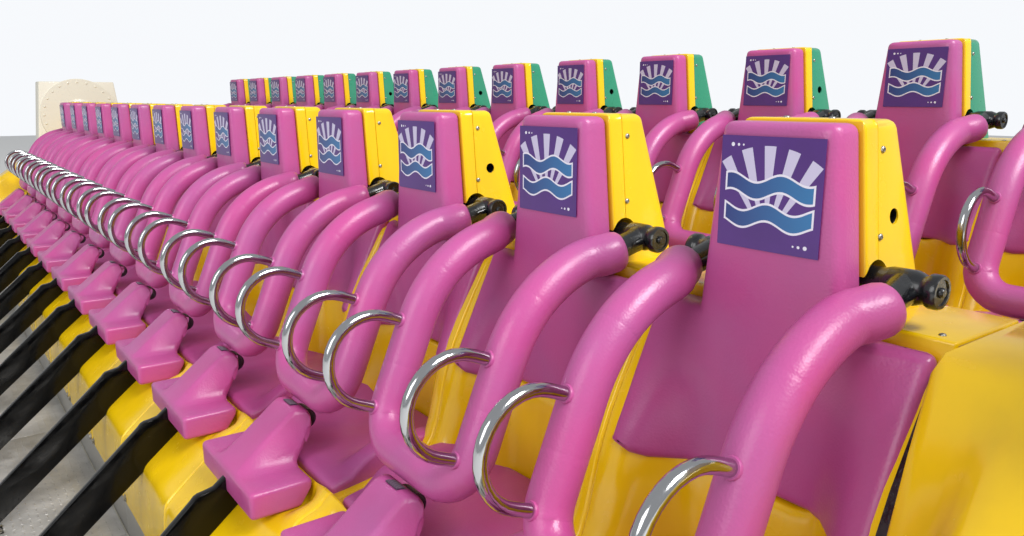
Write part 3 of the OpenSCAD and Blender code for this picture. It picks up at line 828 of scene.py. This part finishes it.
def makeHarnessFoam():
    h = harness
    half, _ = harnessLine()
    length = sum((b - a).length for a, b in zip(half, half[1:]))
    seamEdges = (-h["seamHalf"], 0.0, h["seamHalf"])
    stations = sorted([length * (k + 1) / h["stations"] for k in range(h["stations"])]
                      + [s + d for s in h["seams"] for d in seamEdges])
    stations = [s for s in stations
                if all(not h["seamHalf"] + 0.0001 <= abs(s - c) <= h["seamClear"] for c in h["seams"])]
    first, ahead = atRun(half, 0.001)
    points = [first + ahead * back for back, share in h["dome"]]
    radii = [h["foamR"] * share for back, share in h["dome"]]
    for s in stations:
        inSeam = any(abs(s - c) < h["seamHalf"] / 2 for c in h["seams"])
        points.append(atRun(half, s)[0])
        radii.append(h["foamR"] - (h["seamDeep"] if inSeam else 0.0))
    other = [Vector((-p.x, p.y, p.z)) for p in reversed(points[:-1])]
    bm = sweep(points + other, radii + list(reversed(radii[:-1])), h["sides"])
    for s in (-1, 1):
        for root, out in gripEnds(s):
            merge(bm, lathe(h["collar"], root, out, 14))
    return newPiece("harnessFoam", bm, "pinkFoam", 60)


def makeGrips():
    # Each handle runs out from the tube, round a half circle and back
    h = harness
    parts = []
    for s in (-1, 1):
        (top, out), (low, _) = gripEnds(s)
        across = (low - top).normalized()
        r = (low - top).length / 2
        middle = (top + low) / 2 + out * h["gripReach"]
        points = [top + out * h["gripReach"] * t for t in (0.0, 0.45, 0.8)]
        for k in range(17):
            t = math.pi * k / 16
            points.append(middle - across * r * math.cos(t) + out * r * math.sin(t))
        points += [low + out * h["gripReach"] * t for t in (0.8, 0.45, 0.0)]
        parts.append(sweep(points, [h["gripR"]] * len(points), h["gripSides"]))
    return newPiece("handles", merge(*parts), "polishedStainless", 60)


def makeArms():
    # Cast arm: stepped barrel on the shaft, webbed neck into the foam, ring and cap on the end
    h = harness
    y, z = housing["pivotY"], housing["pivotZ"]
    bm = lathe(h["barrel"], (0, y, z), sides=26)
    half, _ = harnessLine()
    place = Vector((h["armX"], y, z))
    tip = half[0] + (half[1] - half[0]).normalized() * h["neckIn"]
    neck = [place.lerp(tip, k / 5) for k in range(6)]
    merge(bm, sweep(neck, h["neck"], 22))
    for atBarrel, atFoam in h["ribs"]:
        ends = [place + Vector((atBarrel, 0, 0)), tip + Vector((atFoam, 0, 0))]
        merge(bm, sweep(ends, [h["ribR"]] * 2, 12))
    shaft = rod(h["shaftR"], 2 * h["shaftHalf"], (-h["shaftHalf"], y, z), 20)
    return newPiece("castArms", merge(mirrored(bm), shaft), "castBlackEnamel", 45)


# Leg pad: a moulded T; its cross bar lies on the pan and its stem rises to the back between the legs
legPad = {
    "front": -0.612, "barBack": -0.448, "barTop": -0.803, "back": -0.394, "half": 0.205, "edge": 0.013,
    "stemTop": 0.066, "stemFoot": 0.088, "fillet": 0.034, "hollow": 2.6, "webThick": 0.030, "taper": 0.985,
    "ridge": ((-0.612, -0.803), (-0.600, -0.800), (-0.435, -0.666), (-0.394, -0.674)),
    "under": ((-0.462, -0.877), (-0.446, -0.820), (-0.392, -0.712)),
    "barPlaces": (-0.587, -0.560, -0.530, -0.505, -0.482), "stemPlaces": (-0.432, -0.415),
}


def makeLegPad():
    p = legPad
    foot = p["stemFoot"]
    columns = bothSides([0.0, 0.036, p["stemTop"], foot, foot + 0.010, foot + 0.022, foot + p["fillet"], 0.165,
                         p["half"]])
    ways = [p["front"], *p["barPlaces"], p["barBack"], *p["stemPlaces"], p["back"]]
    cells = gridCells(columns, ways, lambda x, y: abs(x) > foot and y > p["barBack"])

    def top(x, y):
        wide = abs(x)
        stem = along(p["ridge"], y)
        behindBar = y > p["barBack"]
        if wide <= p["stemTop"]:
            return Vector((x, y, stem))
        if wide <= foot and behindBar:
            return Vector((x, y, along(p["under"], y) + p["webThick"]))
        share = clamp((wide - p["stemTop"]) / (foot + p["fillet"] - p["stemTop"]))
        return Vector((x, y, lerp(p["barTop"], stem, (1 - share) ** p["hollow"])))

    def bottom(x, y):
        return Vector((x * p["taper"], y, along(p["under"], y)))

    piece = newPiece("legPad", slab(cells, top, bottom), "pinkFoam", 60)
    return soften(piece, p["edge"], 4, 34, sharpDeg=60)


# Webbing loop that stands on the back of the leg pad, and its tongue over the back edge of the stem
belt = {
    "half": 0.028, "thick": 0.0015, "r": 0.0265, "y": -0.388, "z": -0.716, "reach": 150, "steps": 24,
    "tongue": ((-0.430, -0.6655), (-0.420, -0.6670), (-0.408, -0.6720), (-0.399, -0.6800), (-0.3935, -0.6900),
               (-0.3925, -0.7040)),
    "tongueShare": 0.9,
}


def makeBelt():
    b = belt
    turns = [math.radians(lerp(-b["reach"], b["reach"], k / b["steps"])) for k in range(b["steps"] + 1)]
    ring = [(0, b["y"] + b["r"] * math.cos(t), b["z"] + b["r"] * math.sin(t)) for t in turns]
    bm = sweep(ring, flat=(b["half"], b["thick"]))
    merge(bm, sweep([(0, y, z) for y, z in b["tongue"]], flat=(b["half"] * b["tongueShare"], b["thick"])))
    return newPiece("beltLoop", bm, "webbing", 60)


# Divider bar: thick flat bar that runs down from under the leg pad to the deck
dividerBar = {
    "line": ((-0.596, -0.830), (-0.614, -0.833), (-0.626, -0.842), (-0.642, -0.855), (-0.664, -0.860),
             (-0.683, -0.863), (-0.693, -0.868), (-0.704, -0.880), (-1.2515, -1.377), (-1.1115, -1.377),
             (-0.560, -0.908), (-0.560, -0.880), (-0.598, -0.880)),
    "half": 0.012, "edge": 0.0025, "footHalf": 0.035, "footBack": -1.0764, "footFront": -1.2864,
    "footThick": 0.008,
}


def makeDividerBar():
    d = dividerBar
    floor = gondola["floor"]
    foot = block((-d["footHalf"], d["footFront"], floor), (d["footHalf"], d["footBack"], floor + d["footThick"]))
    piece = newPiece("dividerBar", merge(prism(d["line"], -d["half"], d["half"]), foot), "blackEnamel")
    return soften(piece, d["edge"], 2, 30)


# Seat cushion with side bolsters
cushion = {
    "low": -0.874, "top": -0.800, "bolster": -0.737, "edge": 0.014,
    "bolsterFrom": 0.165, "bolsterRise": 0.05, "fadeFrom": -0.290, "fadeLength": 0.090,
    "crown": 0.006, "crownHalf": 0.18, "lip": 0.010, "lipFrom": -0.385, "lipLength": 0.045,
    "halves": (0.0, 0.05, 0.10, 0.145, 0.180, 0.200, 0.222, 0.246, 0.270),
    "ways": (-0.430, -0.405, -0.370, -0.330, -0.28, -0.22, -0.16, -0.10, -0.05, -0.006),
}


def makeCushion():
    c = cushion

    def top(x, y):
        rise = ease((abs(x) - c["bolsterFrom"]) / c["bolsterRise"]) * (c["bolster"] - c["top"])
        fade = 1 - ease((c["fadeFrom"] - y) / c["fadeLength"])
        crown = c["crown"] * max(0.0, 1 - (x / c["crownHalf"]) ** 2)
        lip = c["lip"] * ease((c["lipFrom"] - y) / c["lipLength"])
        return Vector((x, y, c["top"] + rise * fade + crown - lip))

    bm = slab(gridCells(bothSides(c["halves"]), c["ways"]), top, lambda x, y: Vector((x, y, c["low"])))
    return soften(newPiece("seatCushion", bm, "pinkFoam"), c["edge"], 3, 50)


# Seat shell: one moulded sheet per seat, from under the pads over the pan and down the front to the deck
shell = {
    "half": 0.300, "thick": 0.004, "seamDeep": 0.004, "seamFrom": 0.2955, "lip": 0.0035, "lipX": 0.2905,
    "lipHalf": 0.0045, "rimFrom": 8, "slopeFrom": 17, "flankFrom": 21,
    "halves": (0.0, 0.06, 0.115, 0.150, 0.180, 0.210, 0.235, 0.262, 0.285, 0.2905, 0.2945, 0.2975, 0.300),
    # Where the sheet starts to rise to the crest between two seats, and over what width; then at the rim
    "crest": (0.115, 0.150), "rimCrest": (0.200, 0.06),
    # Stations: y, z in the middle of the seat, then y, z on the crest between two seats
    "stations": [
        ((0.075, -0.560), (0.075, -0.262)),
        ((0.020, -0.560), (0.044, -0.262)),
        ((0.006, -0.562), (0.020, -0.310)),
        ((0.002, -0.566), (-0.050, -0.430)),
        ((0.000, -0.600), (-0.098, -0.535)),
        ((0.000, -0.680), (-0.122, -0.640)),
        ((0.000, -0.780), (-0.145, -0.745)),
        ((-0.004, -0.862), (-0.190, -0.790)),
        ((-0.030, -0.877), (-0.300, -0.812)),
        ((-0.400, -0.878), (-0.420, -0.828)),
        ((-0.431, -0.878), (-0.432, -0.828)),
        ((-0.4325, -0.830), (-0.434, -0.812)),
        ((-0.4400, -0.812), (-0.442, -0.804)),
        ((-0.4475, -0.830), (-0.456, -0.810)),
        ((-0.4490, -0.878), (-0.472, -0.832)),
        ((-0.4900, -0.8785), (-0.500, -0.842)),
        ((-0.5300, -0.8785), (-0.532, -0.852)),
        ((-0.5480, -0.8860), (-0.548, -0.878)),
        ((-0.6000, -0.9280), (-0.600, -0.924)),
        ((-0.6600, -0.9780), (-0.660, -0.976)),
        ((-0.6880, -1.0010), (-0.688, -1.000)),
        ((-0.7010, -1.0180), (-0.702, -1.018)),
        ((-0.7060, -1.0500), (-0.708, -1.050)),
        ((-0.7120, -1.1500), (-0.714, -1.150)),
        ((-0.7155, -1.2400), (-0.717, -1.240)),
        ((-0.7160, -1.2500), (-0.717, -1.250)),
    ],
}


def makeShell():
    s = shell
    bm = bmesh.new()
    grid = []
    for k, (middle, crest) in enumerate(s["stations"]):
        line = []
        for x in bothSides(s["halves"]):
            start, width = s["rimCrest"] if s["rimFrom"] <= k < s["slopeFrom"] else s["crest"]
            share = ease((abs(x) - start) / width)
            y, z = lerp(middle[0], crest[0], share), lerp(middle[1], crest[1], share)
            groove = s["seamDeep"] * ease((abs(x) - s["seamFrom"]) / 0.0035)
            if k >= s["flankFrom"]:
                y -= s["lip"] * (1 - ease(abs(abs(x) - s["lipX"]) / s["lipHalf"]))
            else:
                z -= groove
            line.append(bm.verts.new((x, y + groove, z)))
        grid.append(line)
    skin(bm, grid)
    piece = newPiece("seatShell", bm, "yellowGelcoat", 70)
    smooth = piece.modifiers.new("rounder", "SUBSURF")
    smooth.levels = smooth.render_levels = 1
    solid = piece.modifiers.new("thickness", "SOLIDIFY")
    solid.thickness = s["thick"]
    solid.offset = -1.0
    return settle(piece, 60)


# Rail behind the pads: a rounded box edge, with its back panel down to the base
rail = {"front": 0.0755, "back": 0.300, "top": -0.215, "foot": -1.3905, "half": 0.2988, "wall": 0.012,
        "skirt": -0.52, "edge": 0.006}


def makeBackShell():
    r = rail
    wall = r["wall"]
    outline = [(r["front"], r["skirt"]), (r["front"], r["top"]), (r["back"], r["top"]), (r["back"], r["foot"]),
               (r["back"] - wall, r["foot"]), (r["back"] - wall, r["top"] - wall),
               (r["front"] + wall, r["top"] - wall), (r["front"] + wall, r["skirt"])]
    piece = newPiece("backShell", prism(outline, -r["half"], r["half"]), "yellowGelcoat")
    return soften(piece, r["edge"], 3, 40)


# Closed mouldings beyond the end seats: a low edge beside the seat rises through a valley to a broad ridge
endFairing = {
    "inner": 4.217, "outer": 4.598, "edgeDrop": 0.008,
    # Across: share of the way outwards, share of the rise from the inner edge to the ridge
    "across": ((0.0, 0.0), (0.012, 0.0), (0.05, 0.05), (0.16, 0.22), (0.24, 0.52), (0.30, 0.82), (0.36, 0.97),
               (0.45, 1.0), (0.72, 1.0), (0.94, 1.0), (0.985, 0.985), (1.0, 0.93)),
    # Stations: y, z on the inner edge, then y, z on the ridge
    "stations": [
        ((0.300, -1.391), (0.300, -1.391)),
        ((0.300, -0.700), (0.300, -0.700)),
        ((0.300, -0.222), (0.300, -0.216)),
        ((0.285, -0.204), (0.282, -0.200)),
        ((0.120, -0.206), (0.150, -0.204)),
        ((-0.010, -0.208), (0.030, -0.214)),
        ((-0.038, -0.226), (-0.010, -0.236)),
        ((-0.080, -0.340), (-0.120, -0.306)),
        ((-0.120, -0.470), (-0.225, -0.377)),
        ((-0.215, -0.600), (-0.400, -0.500)),
        ((-0.330, -0.740), (-0.585, -0.630)),
        ((-0.440, -0.800), (-0.650, -0.740)),
        ((-0.540, -0.852), (-0.690, -0.850)),
        ((-0.694, -1.004), (-0.710, -0.990)),
        ((-0.709, -1.080), (-0.714, -1.080)),
        ((-0.716, -1.391), (-0.716, -1.391)),
    ],
}


def makeEndFairing(row):
    e = endFairing
    start = rows[row]
    middleX = start.x + gondola["pitch"] * (gondola["seats"] - 1) / 2
    bm = bmesh.new()
    grid = []
    for inner, ridge in e["stations"]:
        line = []
        for t, share in e["across"]:
            drop = 0.0 if t else e["edgeDrop"]
            line.append(bm.verts.new((middleX + lerp(e["inner"], e["outer"], t),
                                      start.y + lerp(inner[0], ridge[0], share),
                                      start.z + lerp(inner[1], ridge[1], share) - drop)))
        grid.append(line)
    skin(bm, grid)
    for side in (0, -1):
        bm.faces.new([line[side] for line in grid])
    bm.faces.new(grid[0] + list(reversed(grid[-1])))
    return newPiece(f"{row}EndFairings", mirrored(bm), "yellowGelcoat", 50)


# Black strip in the gap between an end seat and the moulding beyond it: painted shade that stands for the dark of
# the gap
gapShade = {
    "inner": 4.1825, "outer": 4.2185, "proud": (-0.0012, 0.0006), "deep": (0.006, -0.004),
    "line": ((0.044, -0.262), (0.020, -0.310), (-0.050, -0.430), (-0.098, -0.535), (-0.122, -0.640),
             (-0.145, -0.745), (-0.190, -0.790), (-0.300, -0.812)),
}


def makeGapShade(row):
    e = gapShade
    over, under = [[(rows[row].y + y + shift[0], rows[row].z + z + shift[1]) for y, z in e["line"]]
                   for shift in (e["proud"], e["deep"])]
    bm = prism(over + under[::-1], e["inner"], e["outer"])
    return newPiece(f"{row}EndSeals", mirrored(bm), "castBlackEnamel")


# Small parts, which stand up along z: button-head socket screws, hexagon bolts and blind rivets
def makeButtonScrew():
    profile = ((-0.002, 0.0062), (0.0006, 0.0062), (0.0018, 0.0058), (0.0030, 0.0046), (0.0035, 0.0028),
               (0.0035, 0.0022), (0.0018, 0.0020))
    return newPiece("buttonScrew", lathe(profile, axis=(0, 0, 1), sides=12), "zincSteel", 50)


def makeHexBolt(r, height):
    washer = lathe([(-0.002, r * 1.35), (r * 0.16, r * 1.35), (r * 0.2, r * 1.3)], axis=(0, 0, 1), sides=16)
    head = lathe([(0.0, r), (height * 0.86, r), (height, r * 0.86)], axis=(0, 0, 1), sides=6)
    return newPiece("hexBolt", merge(washer, head), "zincSteel", 30)


def makeRivet(r):
    profile = [(-0.002, r), (0.0, r), (r * 0.35, r * 0.9), (r * 0.6, r * 0.6), (r * 0.7, r * 0.2)]
    return newPiece("rivet", lathe(profile, axis=(0, 0, 1), sides=10), "creamEnamel", 60)


# End columns with their discs, and the hub flanges outside them
hubHeight = rows["front"].z - 0.015
endColumn = {
    "inner": gondola["halfEnd"], "outer": gondola["halfEnd"] + 0.240, "edge": 0.010,
    "line": ((-1.656, 0.0), (1.656, 0.0), (1.656, 0.430), (0.430, 1.100), (0.340, hubHeight + 0.330),
             (-0.340, hubHeight + 0.330), (-0.430, 1.000), (-1.656, 0.200)),
    "discR": 0.36, "discThick": 0.012, "rivetR": 0.011,
    # Rings of rivets: how many, radius of the ring, place along x from the disc's face
    "rivets": ((24, 0.325, 0.0005), (12, 0.131, -0.009)),
}
hubFlange = {"x": 4.840, "r": 0.300, "pcd": 0.520, "holes": 16, "holeR": 0.013, "boreR": 0.090}


def makeEndColumns():
    e = endColumn
    piece = newPiece("endColumns", prism(e["line"], e["inner"], e["outer"]), "creamEnamel")
    soften(piece, e["edge"], 3, 15)
    t = e["discThick"]
    centre = (e["inner"] - t, 0, hubHeight)
    disc = lathe([(0.0, 0.16), (0.0, e["discR"] - 0.004), (0.004, e["discR"]), (t + 0.002, e["discR"])],
                 centre, sides=64)
    ring = lathe([(-0.010, 0.105), (-0.010, 0.150), (-0.006, 0.156), (t, 0.156)], centre, sides=48)
    return newPiece("endColumns", mirrored(merge(meshOf(piece), disc, ring)), "creamEnamel", 40)


def makeHub(name, side):
    f = hubFlange
    r = f["r"]
    profile = [(0.0, r - 0.012), (0.012, r - 0.002), (0.052, r - 0.002), (0.056, r), (0.077, r),
               (0.080, r - 0.003)]
    piece = newPiece(name, lathe(profile, (f["x"], 0, hubHeight), sides=72), "creamEnamel", 40)
    tools = [rod(f["boreR"], 0.1, (f["x"] - 0.001, 0, hubHeight), 40)]
    for i in range(f["holes"]):
        turn = 2 * math.pi * (i + 0.5) / f["holes"]
        place = (f["x"] - 0.001, f["pcd"] / 2 * math.cos(turn), hubHeight + f["pcd"] / 2 * math.sin(turn))
        tools.append(rod(f["holeR"], 0.1, place, 16))
    cut(piece, tools)
    return piece if side > 0 else newPiece(name, flipped(meshOf(piece)), "creamEnamel", 40)


# Decks: lengths of tread plate, and a riser strip of plain aluminium up to the kick plates
deck = {
    "back": -0.7205, "thick": 0.006, "gap": 0.003, "riserY": -0.716, "riserTop": -1.2505, "riserThick": 0.008,
    "riserHalf": 4.217, "joints": [-4.2, -3.0, -1.8, -0.6, 0.6, 1.8, 3.0, 4.2], "lip": 0.0015,
    "front": {"front": -1.400, "rear": -1.3115},
}


def makeStrips(name, row, places, gap, low, high, finish):
    # Lengths between the x places, a gap apart; low and high are their y, z limits in the row's seat frame
    bm = bmesh.new()
    start = Vector((0, rows[row].y, rows[row].z))
    for x0, x1 in zip(places, places[1:]):
        merge(bm, block(start + Vector((x0 + gap / 2, *low)), start + Vector((x1 - gap / 2, *high))))
    return soften(newPiece(name, bm, finish, 30), deck["lip"], 2, 40)


def makeDeck(row):
    d = deck
    floor = gondola["floor"]
    low = floor - d["thick"]
    plates = makeStrips(f"{row}DeckPlates", row, [-gondola["halfEnd"], *d["joints"], gondola["halfEnd"]], d["gap"],
                        (d["front"][row], low), (d["back"], floor), "treadPlate")
    riser = makeStrips(f"{row}Riser", row, [-d["riserHalf"], *d["joints"][1:-1], d["riserHalf"]], d["gap"] / 2,
                       (d["riserY"], low), (d["riserY"] + d["riserThick"], d["riserTop"]), "rolledAluminium")
    return plates, riser


# Under-frame: box beams along the rows, cross members and posts, with a weld bead where they meet
base = {
    "height": 0.200, "tier": 0.430, "beam": 0.100, "cross": 0.080, "inset": 0.040, "edge": 0.006, "members": 8,
    "halfRow": 4.200, "bead": 0.006, "postInset": 0.004,
    # Beams: row, y from its badges, whether on the tier; bays join two beams; posts carry a beam, on a cross
    # member or on a beam
    "beams": (("front", -1.400, 0), ("front", -0.766, 0), ("front", 0.200, 0), ("rear", -0.766, 0),
              ("rear", 0.200, 0), ("front", 0.300, 1), ("rear", -0.766, 1), ("rear", 0.200, 1)),
    "bays": ((0, 1), (1, 2), (2, 3), (3, 4), (5, 6), (6, 7)), "posts": ((5, True), (6, False), (7, False)),
}


def makeBase():
    b = base
    levels = ((0, b["height"]), (b["tier"] - b["beam"], b["tier"]))
    beams = [(rows[row].y + y, *levels[tier]) for row, y, tier in b["beams"]]
    long, short = bmesh.new(), bmesh.new()
    for y, z0, z1 in beams:
        merge(long, block((-gondola["halfEnd"], y, z0), (gondola["halfEnd"], y + b["beam"], z1)))
    for i in range(b["members"]):
        x = lerp(-b["halfRow"], b["halfRow"], i / (b["members"] - 1))
        x0, x1 = x - b["cross"] / 2, x + b["cross"] / 2
        for first, second in b["bays"]:
            y, z0, z1 = beams[first]
            drop = 0 if z0 > 0 else b["inset"]
            lift = b["bead"] if drop else -b["bead"] / 2
            ends = (y + b["beam"], beams[second][0])
            merge(short, block((x0, ends[0], z0 + drop), (x1, ends[1], z1 - drop)))
            for end in ends:
                merge(short, block((x0 - b["bead"], end - b["bead"], z0 + drop - b["bead"]),
                                   (x1 + b["bead"], end + b["bead"], z1 - drop + lift)))
        for top, onCross in b["posts"]:
            y, z0, _ = beams[top]
            foot = b["height"] - (b["inset"] if onCross else 0)
            merge(short, block((x0, y + b["postInset"], foot), (x1, y + b["beam"] - b["postInset"], z0)))
    return [soften(newPiece(name, bm, "creamEnamel", 30), edge, 2, 40)
            for name, bm, edge in (("baseBeams", long, b["edge"]), ("baseMembers", short, b["edge"] / 2))]


# Make the seat pieces once and set them along both rows
bothRows(makeBackPad(), "pink_foam", "back_pads", padded=1.0)
print("back pads done")
bothRows(makeBadge(), "pink_foam")
bothRows(makeHousing("headFrame"), "yellow_shell", "head_frames")
plainCover = makeHousing("headCover", rear=True)
holedCover = makeHousing("holedHeadCover", rear=True, holed=True)
for row, finish, slot in (("front", "yellowGelcoat", "yellow_shell"), ("rear", "tealGelcoat", "teal_shell")):
    placeInRow(plainCover, row, slot, "head_covers", finish=finish, every=2)
    placeInRow(holedCover, row, slot, finish=finish, firstSeat=1, every=2)
bothRows(makePivotSleeve(), "bare_steel", "pivots")
# Black cups in the inspection holes: painted shade
bothRows(makeHoleShade(), "black_paint", firstSeat=1, every=2)
print("head housings done")
bothRows(makeLegPad(), "pink_foam", "leg_pads", padded=1.0)
bothRows(makeCushion(), "pink_foam", "cushions", padded=0.9)
bothRows(makeBelt(), "webbing", "belts")
bothRows(makeDividerBar(), "black_paint", "divider_bars")
print("leg pads, cushions and bars done")
bothRows(makeShell(), "yellow_shell", "shell")
bothRows(makeBackShell(), "yellow_shell")
for row in rows:
    plates, riser = makeDeck(row)
    rootPiece(plates, "tread_plate", f"{row}_deck")
    rootPiece(riser, "tread_plate")
beamsPiece, membersPiece = makeBase()
rootPiece(beamsPiece, "cream_paint", "underframe")
rootPiece(membersPiece, "cream_paint")
print("decks and base done")
for row in rows:
    rootPiece(makeEndFairing(row), "yellow_shell", f"{row}_end_fairings")
    # Black strips in the end gaps: painted shade
    rootPiece(makeGapShade(row), "black_paint")
print("shells and fairings done")

# Fixings at each seat: screws on the sides and the top of the head and in the rail, bolts in the kick plate, in
# the bar's foot and in the back panel; sink is how far a head's seat lies in the surface
fixings = {
    "sink": 0.0005, "sideScrews": ((0.127, 0.068), (0.118, -0.077)), "sideLean": 0.1,
    "topX": 0.045, "topY": 0.098, "railX": 0.265, "railY": 0.100,
    "kick": (0.272, -0.7165, -1.234), "kickLean": 0.05, "footX": 0.024, "footY": (-1.092, -1.270),
    "backX": 0.28, "backZ": (-0.27, -0.62, -0.97, -1.32), "boltR": 0.011, "boltHigh": 0.009,
}
fix = fixings
screw, bolt = makeButtonScrew(), makeHexBolt(fix["boltR"], fix["boltHigh"])
footTop = gondola["floor"] + dividerBar["footThick"]
headScrews = [((s * (housingHalf(z) - fix["sink"]), y, z), (s, 0, fix["sideLean"]))
              for y, z in fix["sideScrews"] for s in (-1, 1)]
headScrews += [((s * fix["topX"], fix["topY"], housing["top"] - fix["sink"]), (0, 0, 1)) for s in (-1, 1)]
headScrews += [((s * fix["railX"], fix["railY"], rail["top"] - fix["sink"]), (0, 0, 1)) for s in (-1, 1)]
kickBolts = [((s * fix["kick"][0], *fix["kick"][1:]), (0, -1, fix["kickLean"])) for s in (-1, 1)]
kickBolts += [((s * fix["footX"], y, footTop), (0, 0, 1)) for s in (-1, 1) for y in fix["footY"]]
backBolts = [((s * fix["backX"], rail["back"] - fix["sink"], z), (0, 1, 0)) for s in (-1, 1) for z in fix["backZ"]]
for name, places, part in (("seatScrews", headScrews, screw), ("seatBolts", kickBolts, bolt),
                           ("backScrews", backBolts, bolt)):
    bothRows(partsAt(name, places, part), "bare_steel")

# Ends
rootPiece(makeEndColumns(), "cream_paint", "end_frames")
rootPiece(makeHub("leftHubFlange", -1), "cream_paint", "left_hub")
rootPiece(makeHub("rightHubFlange", 1), "cream_paint", "right_hub")
rivet = makeRivet(endColumn["rivetR"])
discFace = endColumn["inner"] - endColumn["discThick"]
discRivets = []
for s in (-1, 1):
    for count, radius, lift in endColumn["rivets"]:
        for turn in [2 * math.pi * i / count for i in range(count)]:
            y, z = radius * math.cos(turn), hubHeight + radius * math.sin(turn)
            discRivets.append(((s * (discFace + lift), y, z), (-s, 0, 0)))
rootPiece(partsAt("endRivets", discRivets, rivet), "cream_paint")
for master in (plainCover, holedCover, screw, bolt, rivet):
    bpy.data.objects.remove(master)
print("ends done")

# Harnesses: one foam loop, one pair of handles and one pair of arms for each seat, on its own body
harnessParts = ((makeHarnessFoam(), "pink_foam"), (makeGrips(), "bare_steel"), (makeArms(), "bare_steel"))
for joint in frame["joints"]:
    body = joint["child"]
    place = Matrix.Translation(Vector(joint["pos_m"]) - gondola["pivotFromBadge"])
    for master, slot in harnessParts:
        mesh = master.data.copy()
        mesh.transform(place)
        piece = addObject(f"{master.name}_{body[-3:]}", mesh)
        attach(piece, body)
        if master.name == "harnessFoam":
            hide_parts(body)
for master, slot in harnessParts:
    bpy.data.objects.remove(master)

# Floor, backdrop and soft studio light
studio = {
    "floorHalf": 40.0, "skyLight": 0.55, "skySeen": 0.98, "skyColour": (0.95, 0.97, 1.0, 1.0),
    # Lights: name, place, what it points at, diameter, power
    "lights": (("keyLight", (14.0, 2.0, 13.5), (1.0, 0.0, 1.2), 8.0, 3300.0),
               ("fillLight", (5.0, -18.0, 10.0), (0.0, 0.0, 1.0), 12.0, 1200.0)),
}
half = studio["floorHalf"]
floorMesh = bpy.data.meshes.new("studioFloor")
floorMesh.from_pydata([(-half, -half, 0), (half, -half, 0), (half, half, 0), (-half, half, 0)], [], [(0, 1, 2, 3)])
floorMesh.materials.append(newMaterial("studioFloor", "#E9E9E7", 0.8)[0])
addObject("studioFloor", floorMesh)
for name, place, target, size, power in studio["lights"]:
    data = bpy.data.lights.new(name, "AREA")
    data.shape = "DISK"
    data.size = size
    data.energy = power
    light = addObject(name, data)
    light.location = place
    light.rotation_euler = (Vector(target) - Vector(place)).to_track_quat("-Z", "Y").to_euler()

# The sky is brighter to the camera than it is as a light
world = bpy.data.worlds.new("studioWorld")
bpy.context.scene.world = world
world.use_nodes = True
sky = world.node_tree.nodes["Background"]
sky.inputs["Color"].default_value = studio["skyColour"]
seen = addNode(world.node_tree, "ShaderNodeLightPath").outputs["Is Camera Ray"]
strength = addNode(world.node_tree, "ShaderNodeMapRange",
                   inputs={"Value": seen, "To Min": studio["skyLight"], "To Max": studio["skySeen"]})
world.node_tree.links.new(strength.outputs["Result"], sky.inputs["Strength"])
bpy.context.scene.view_settings.view_transform = "Standard"
